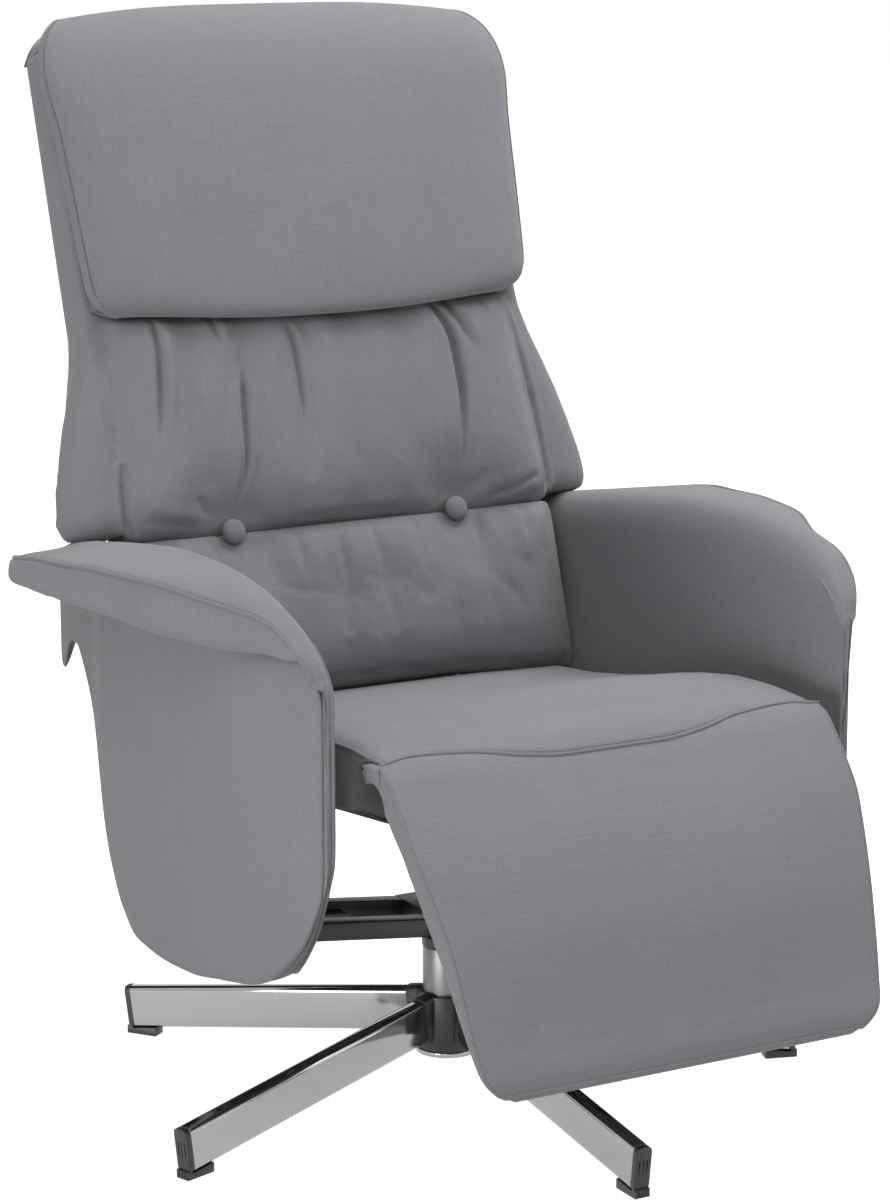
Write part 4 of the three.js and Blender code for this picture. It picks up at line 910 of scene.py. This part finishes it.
def arm_section(along):
    """The section's place, foot, reach, thickness, top, the band's two edges, and the body's share."""
    keys = [row[0] for row in ARM]
    foot, crest, reach, body, drop, band = through(keys, [row[1:] for row in ARM], [along])[0]
    out, thick = reach * PAD_REACH, body * LINER_THICK
    top = ARM_FOOT + crest * ARM_RISE
    edge = top - PAD_DROP * drop
    return along * ARM_DEPTH, ARM_FOOT + foot * ARM_RISE, out, thick, top, edge, edge - PAD_BAND * band, body


def rounded(ring):
    """Cuts the corners of a closed ring twice."""
    ring = np.asarray(ring, float)
    for _ in range(2):
        nearby = np.roll(ring, -1, axis=0)
        ring = np.stack([ring * 0.75 + nearby * 0.25, ring * 0.25 + nearby * 0.75], axis=1).reshape(-1, 3)
    return ring


ROLL, SINK = 28, 46    # how wide and how deep the top's inner edge is rounded, in millimetres


def tuck(along):
    """How far the pad's edge is drawn in towards the rear, in millimetres."""
    return 9 * smoothstep((along - 0.7) / 0.12)


def liner_ring(along):
    """The arm's inner face with the padded top, up the inside and back down the band, as one closed ring."""
    y, foot, out, thick, top, edge, low, _ = arm_section(along)
    over, band, hem = max(out - thick, 0), edge - low, LINER_THICK * 0.15 * min(1, thick / LINER_THICK)
    lift = hem + 22 * max(0, 1 - along / 0.12) + 40 * float(smoothstep((along - 0.9) / 0.1))
    roll = min(ROLL, out * 0.6)
    sink = SINK * roll / ROLL
    flat = [
        (0, foot + lift), (thick * 0.5, foot + (lift - hem) * 0.35), (thick - hem, foot), (thick, foot + hem),
        (thick, foot * 0.6 + low * 0.4), (thick, low - 5), (thick + over * 0.05, low - 1),
        (thick + over * 0.3, low), (out - over * 0.15, low), (out + 1, low + band * 0.26),
        (out + 1.5, low + band * 0.68), (out - over * 0.02 - float(tuck(along)), edge + 1),
        (roll * 0.5 + out * 0.5, top - (top - edge) * 0.3), (roll, top + 1),
        (roll * 0.43, top - sink * 0.13), (roll * 0.1, top - sink * 0.5), (0, top - sink),
        (0, foot * 0.5 + top * 0.5),
    ]
    return rounded([(x, y, z) for x, z in flat])


PANEL_ENDS = (0.007, 0.93)
FLAP_FOOT = 436    # height to which the panel's top comes down at the rear, in millimetres


def panel_ring(along):
    """The thin outer panel under the band."""
    y, foot, _, thick, _, _, low, body = arm_section(along)
    rear = float(smoothstep((along - 0.76) / 0.1))
    near, depth = thick - 0.5, max(2.6, 13 * body ** 2) * (1 - rear) + 4 * rear
    high = low - 1 - (low - 1 - FLAP_FOOT) * float(smoothstep((along - 0.8) / 0.15))
    high = max(foot + 3, high)
    corner = min(depth * 0.34, (high - foot) * 0.3)
    flat = [(near, foot), (near + depth - corner, foot), (near + depth, foot + corner),
            (near + depth, foot * 0.7 + high * 0.3), (near + depth, foot * 0.3 + high * 0.7),
            (near + depth, high - corner), (near + depth - corner, high), (near, high)]
    return rounded([(x, y, z) for x, z in flat])


# Rings beyond the rear ends, as (step, squeeze)
TIP = {"arm_pad": ((3, 0.96), (6, 0.88), (8.5, 0.74), (10, 0.5)),
       "arm_panel_cover": ((0.8, 0.9), (1.4, 0.7))}


def end_ring(ring, step, squeeze):
    """The ring beyond an end, drawn in so that the end is round."""
    middle = ring.mean(axis=0)
    made = ring.copy()
    made[:, 0] = middle[0] + (ring[:, 0] - middle[0]) * squeeze
    made[:, 2] = middle[2] + (ring[:, 2] - middle[2]) * (1 - (1 - squeeze) * 0.12)
    made[:, 1] += step
    return made


def dense(first, last):
    """The rows' places with six more between each two."""
    keys = [first] + [row[0] for row in ARM if first < row[0] < last] + [last]
    spans = [np.linspace(a, b, 7, endpoint=False) for a, b in zip(keys[:-1], keys[1:])]
    return np.concatenate(spans + [keys[-1:]])


for side, sign in SIDES:
    for name, ring_at, ends, node in (("arm_pad", liner_ring, (0, 1), "arm_liner"),
                                      ("arm_panel_cover", panel_ring, PANEL_ENDS, "arm_outer_panel")):
        rows = [ring_at(along) for along in dense(*ends)]
        rows = [end_ring(rows[0], -2.2, 0.45), end_ring(rows[0], -1.4, 0.8)] + rows
        rows += [end_ring(rows[-1], step, squeeze) for step, squeeze in TIP[name]]
        piece = lofted(f"{name}_{side}", [arm_world(ring, sign) for ring in rows], cloth_seat)
        finish(piece, "chassis", "grey_fabric", f"{node}_{side}")
    pad = bpy.data.objects[f"arm_pad_{side}"]
    outer = []
    for along in np.linspace(0.99, 0, 150):
        y, _, out, thick, _, edge, _, _ = arm_section(along)
        outer.append((out - max(out - thick, 0) * 0.03 - tuck(along), y, edge + 0.5))
    _, foot, _, thick, top, *_ = arm_section(0)
    outer += [(thick + 1.4, 2, z) for z in np.linspace(top - 16, foot + 6, 30)]
    fronts = [arm_section(along) for along in np.linspace(0, 0.34, 60)]
    outer += [(thick + 1.4, y + 2.4, foot - 0.3) for y, foot, _, thick, *_ in fronts]
    line = arm_world(along_path(outer, 260), sign)
    line[:140] = snapped(pad, line[:140], 0.0006)
    for _ in range(12):
        line[120:-1] = (line[119:-2] + line[120:-1] * 2 + line[121:]) / 4
    tube(f"arm_pad_welt_{side}", line, WELT, cloth_trim, "chassis")
    inner = [(2, y, top - 14) for y, _, _, _, top, *_ in map(arm_section, np.linspace(0.06, 0, 12))]
    inner += [(1.2, y, foot) for y, foot, *_ in map(arm_section, np.linspace(0, 0.128, 30))]
    line = snapped(pad, arm_world(along_path(inner, 120), sign), 0.0004)
    tube(f"arm_inner_welt_{side}", line, WELT, cloth_trim, "chassis")
    button = welded(f"tuft_button_{side}", f"covered_button_{side}", cloth_back)
    refine(button)
    finish(button, "backrest", "grey_fabric", f"tuft_button_{side}")


# Stage, light and camera
def sheet(name, corners, paint):
    """A flat face from its four corners."""
    mesh = bpy.data.meshes.new(name)
    mesh.from_pydata(corners, [], [(0, 1, 2, 3)])
    return new_object(name, mesh, paint)


def by_ray(tree, rays, hidden, seen):
    """Shows one shader to the rays named and another to all the rest."""
    path = tree.nodes.new("ShaderNodeLightPath")
    share = path.outputs[rays[0]]
    for ray in rays[1:]:
        share = math_node(tree, "MAXIMUM", share, path.outputs[ray])
    mix = tree.nodes.new("ShaderNodeMixShader")
    for socket, value in zip(mix.inputs, (share, hidden, seen)):
        tree.links.new(value, socket)
    return mix.outputs[0]


FLOOR_REACH = 14
floor_paint, tree, shader = material("floor_paper", (0.6, 0.6, 0.6), 0.9)
square = [(x * FLOOR_REACH, y * FLOOR_REACH, 0) for x, y in ((-1, -1), (1, -1), (1, 1), (-1, 1))]
floor = sheet("floor", square, floor_paint)
grain = streaks(tree, add(tree, "ShaderNodeTexCoord").outputs["Object"], (3, 3, 3))
tree.links.new(ramp(tree, grain, [(0.3, (0.59,) * 3), (0.7, (0.61,) * 3)]), shader.inputs["Base Color"])
lit = add(tree, "ShaderNodeEmission", Color=(1, 1, 1, 1), Strength=0.9)
both = tree.nodes.new("ShaderNodeAddShader")
tree.links.new(shader.outputs[0], both.inputs[0])
tree.links.new(lit.outputs[0], both.inputs[1])
shown = by_ray(tree, ("Is Camera Ray", "Is Glossy Ray"), shader.outputs[0], both.outputs[0])
tree.links.new(shown, tree.nodes["Material Output"].inputs["Surface"])

# A dark card behind the chair, which only the chrome sees
card_paint, _, _ = material("dark_card", (0.02, 0.02, 0.02), 1.0)
card = sheet("dark_card", [(-7, 6, 1.75), (9, 4, 1.75), (9, 4, 9), (-7, 6, 9)], card_paint)
for ray in ("camera", "diffuse", "transmission", "volume_scatter", "shadow"):
    setattr(card, "visible_" + ray, False)

world = bpy.data.worlds.new("studio")
scene.world = world
world.use_nodes = True
tree = world.node_tree
tree.nodes.clear()
out = tree.nodes.new("ShaderNodeOutputWorld")
room = add(tree, "ShaderNodeBackground", Color=(0.97, 0.98, 1, 1), Strength=0.26)
white = add(tree, "ShaderNodeBackground", Color=(1, 1, 1, 1), Strength=1.0)
rays = ("Is Camera Ray", "Is Glossy Ray", "Is Transmission Ray")
tree.links.new(by_ray(tree, rays, room.outputs[0], white.outputs[0]), out.inputs[0])


def lamp(name, place, target, size, power, spread=180):
    """An area lamp with its size in metres, its power in watts and its spread in degrees."""
    data = bpy.data.lights.new(name, "AREA")
    data.shape = "RECTANGLE"
    data.size, data.size_y = size
    data.energy = power
    data.spread = math.radians(spread)
    made = bpy.data.objects.new(name, data)
    scene.collection.objects.link(made)
    made.location = place
    made.rotation_euler = (Vector(target) - Vector(place)).to_track_quat("-Z", "Y").to_euler()


lamp("key", (-2.0, -2.6, 3.3), (0, 0, 0.5), (2.0, 2.0), 49)
lamp("left", (-3.3, -1.2, 0.45), (0, -0.1, 0.3), (2.2, 0.8), 19, 100)
lamp("fill", (2.8, -2.4, 1.8), (0, 0, 0.45), (2.2, 2.0), 24)
lamp("top", (1.1, 0.1, 3.3), (0.05, -0.1, 0.4), (2.4, 2.4), 100)

# The camera that was fitted to the photo: its lens and the middle of its view in the photo's pixels
PHOTO_WIDTH, PHOTO_HEIGHT = 890, 1200
FOCAL, MIDDLE_X, MIDDLE_Y = 3459.289, 470.0016, 611.7115
SENSOR = 36
camera_data = bpy.data.cameras.new("camera")
camera = bpy.data.objects.new("camera", camera_data)
scene.collection.objects.link(camera)
right = Vector((0.8675834, -0.4972917, 0))
up = Vector((0.1059249, 0.1847983, 0.9770514))
ahead = Vector((0.4858796, 0.8476736, -0.2130035))
turn = Matrix((right, up, -ahead)).transposed()
camera.matrix_world = Matrix.Translation((-1.651847, -2.928601 + SHIFT, 1.223416)) @ turn.to_4x4()
camera_data.sensor_width = SENSOR
camera_data.sensor_fit = "AUTO"
camera_data.lens = FOCAL / PHOTO_HEIGHT * SENSOR
camera_data.shift_x = (PHOTO_WIDTH / 2 - MIDDLE_X) / PHOTO_HEIGHT
camera_data.shift_y = (MIDDLE_Y - PHOTO_HEIGHT / 2) / PHOTO_HEIGHT
camera_data.clip_end = 60
scene.camera = camera
scene.view_settings.view_transform = "Standard"
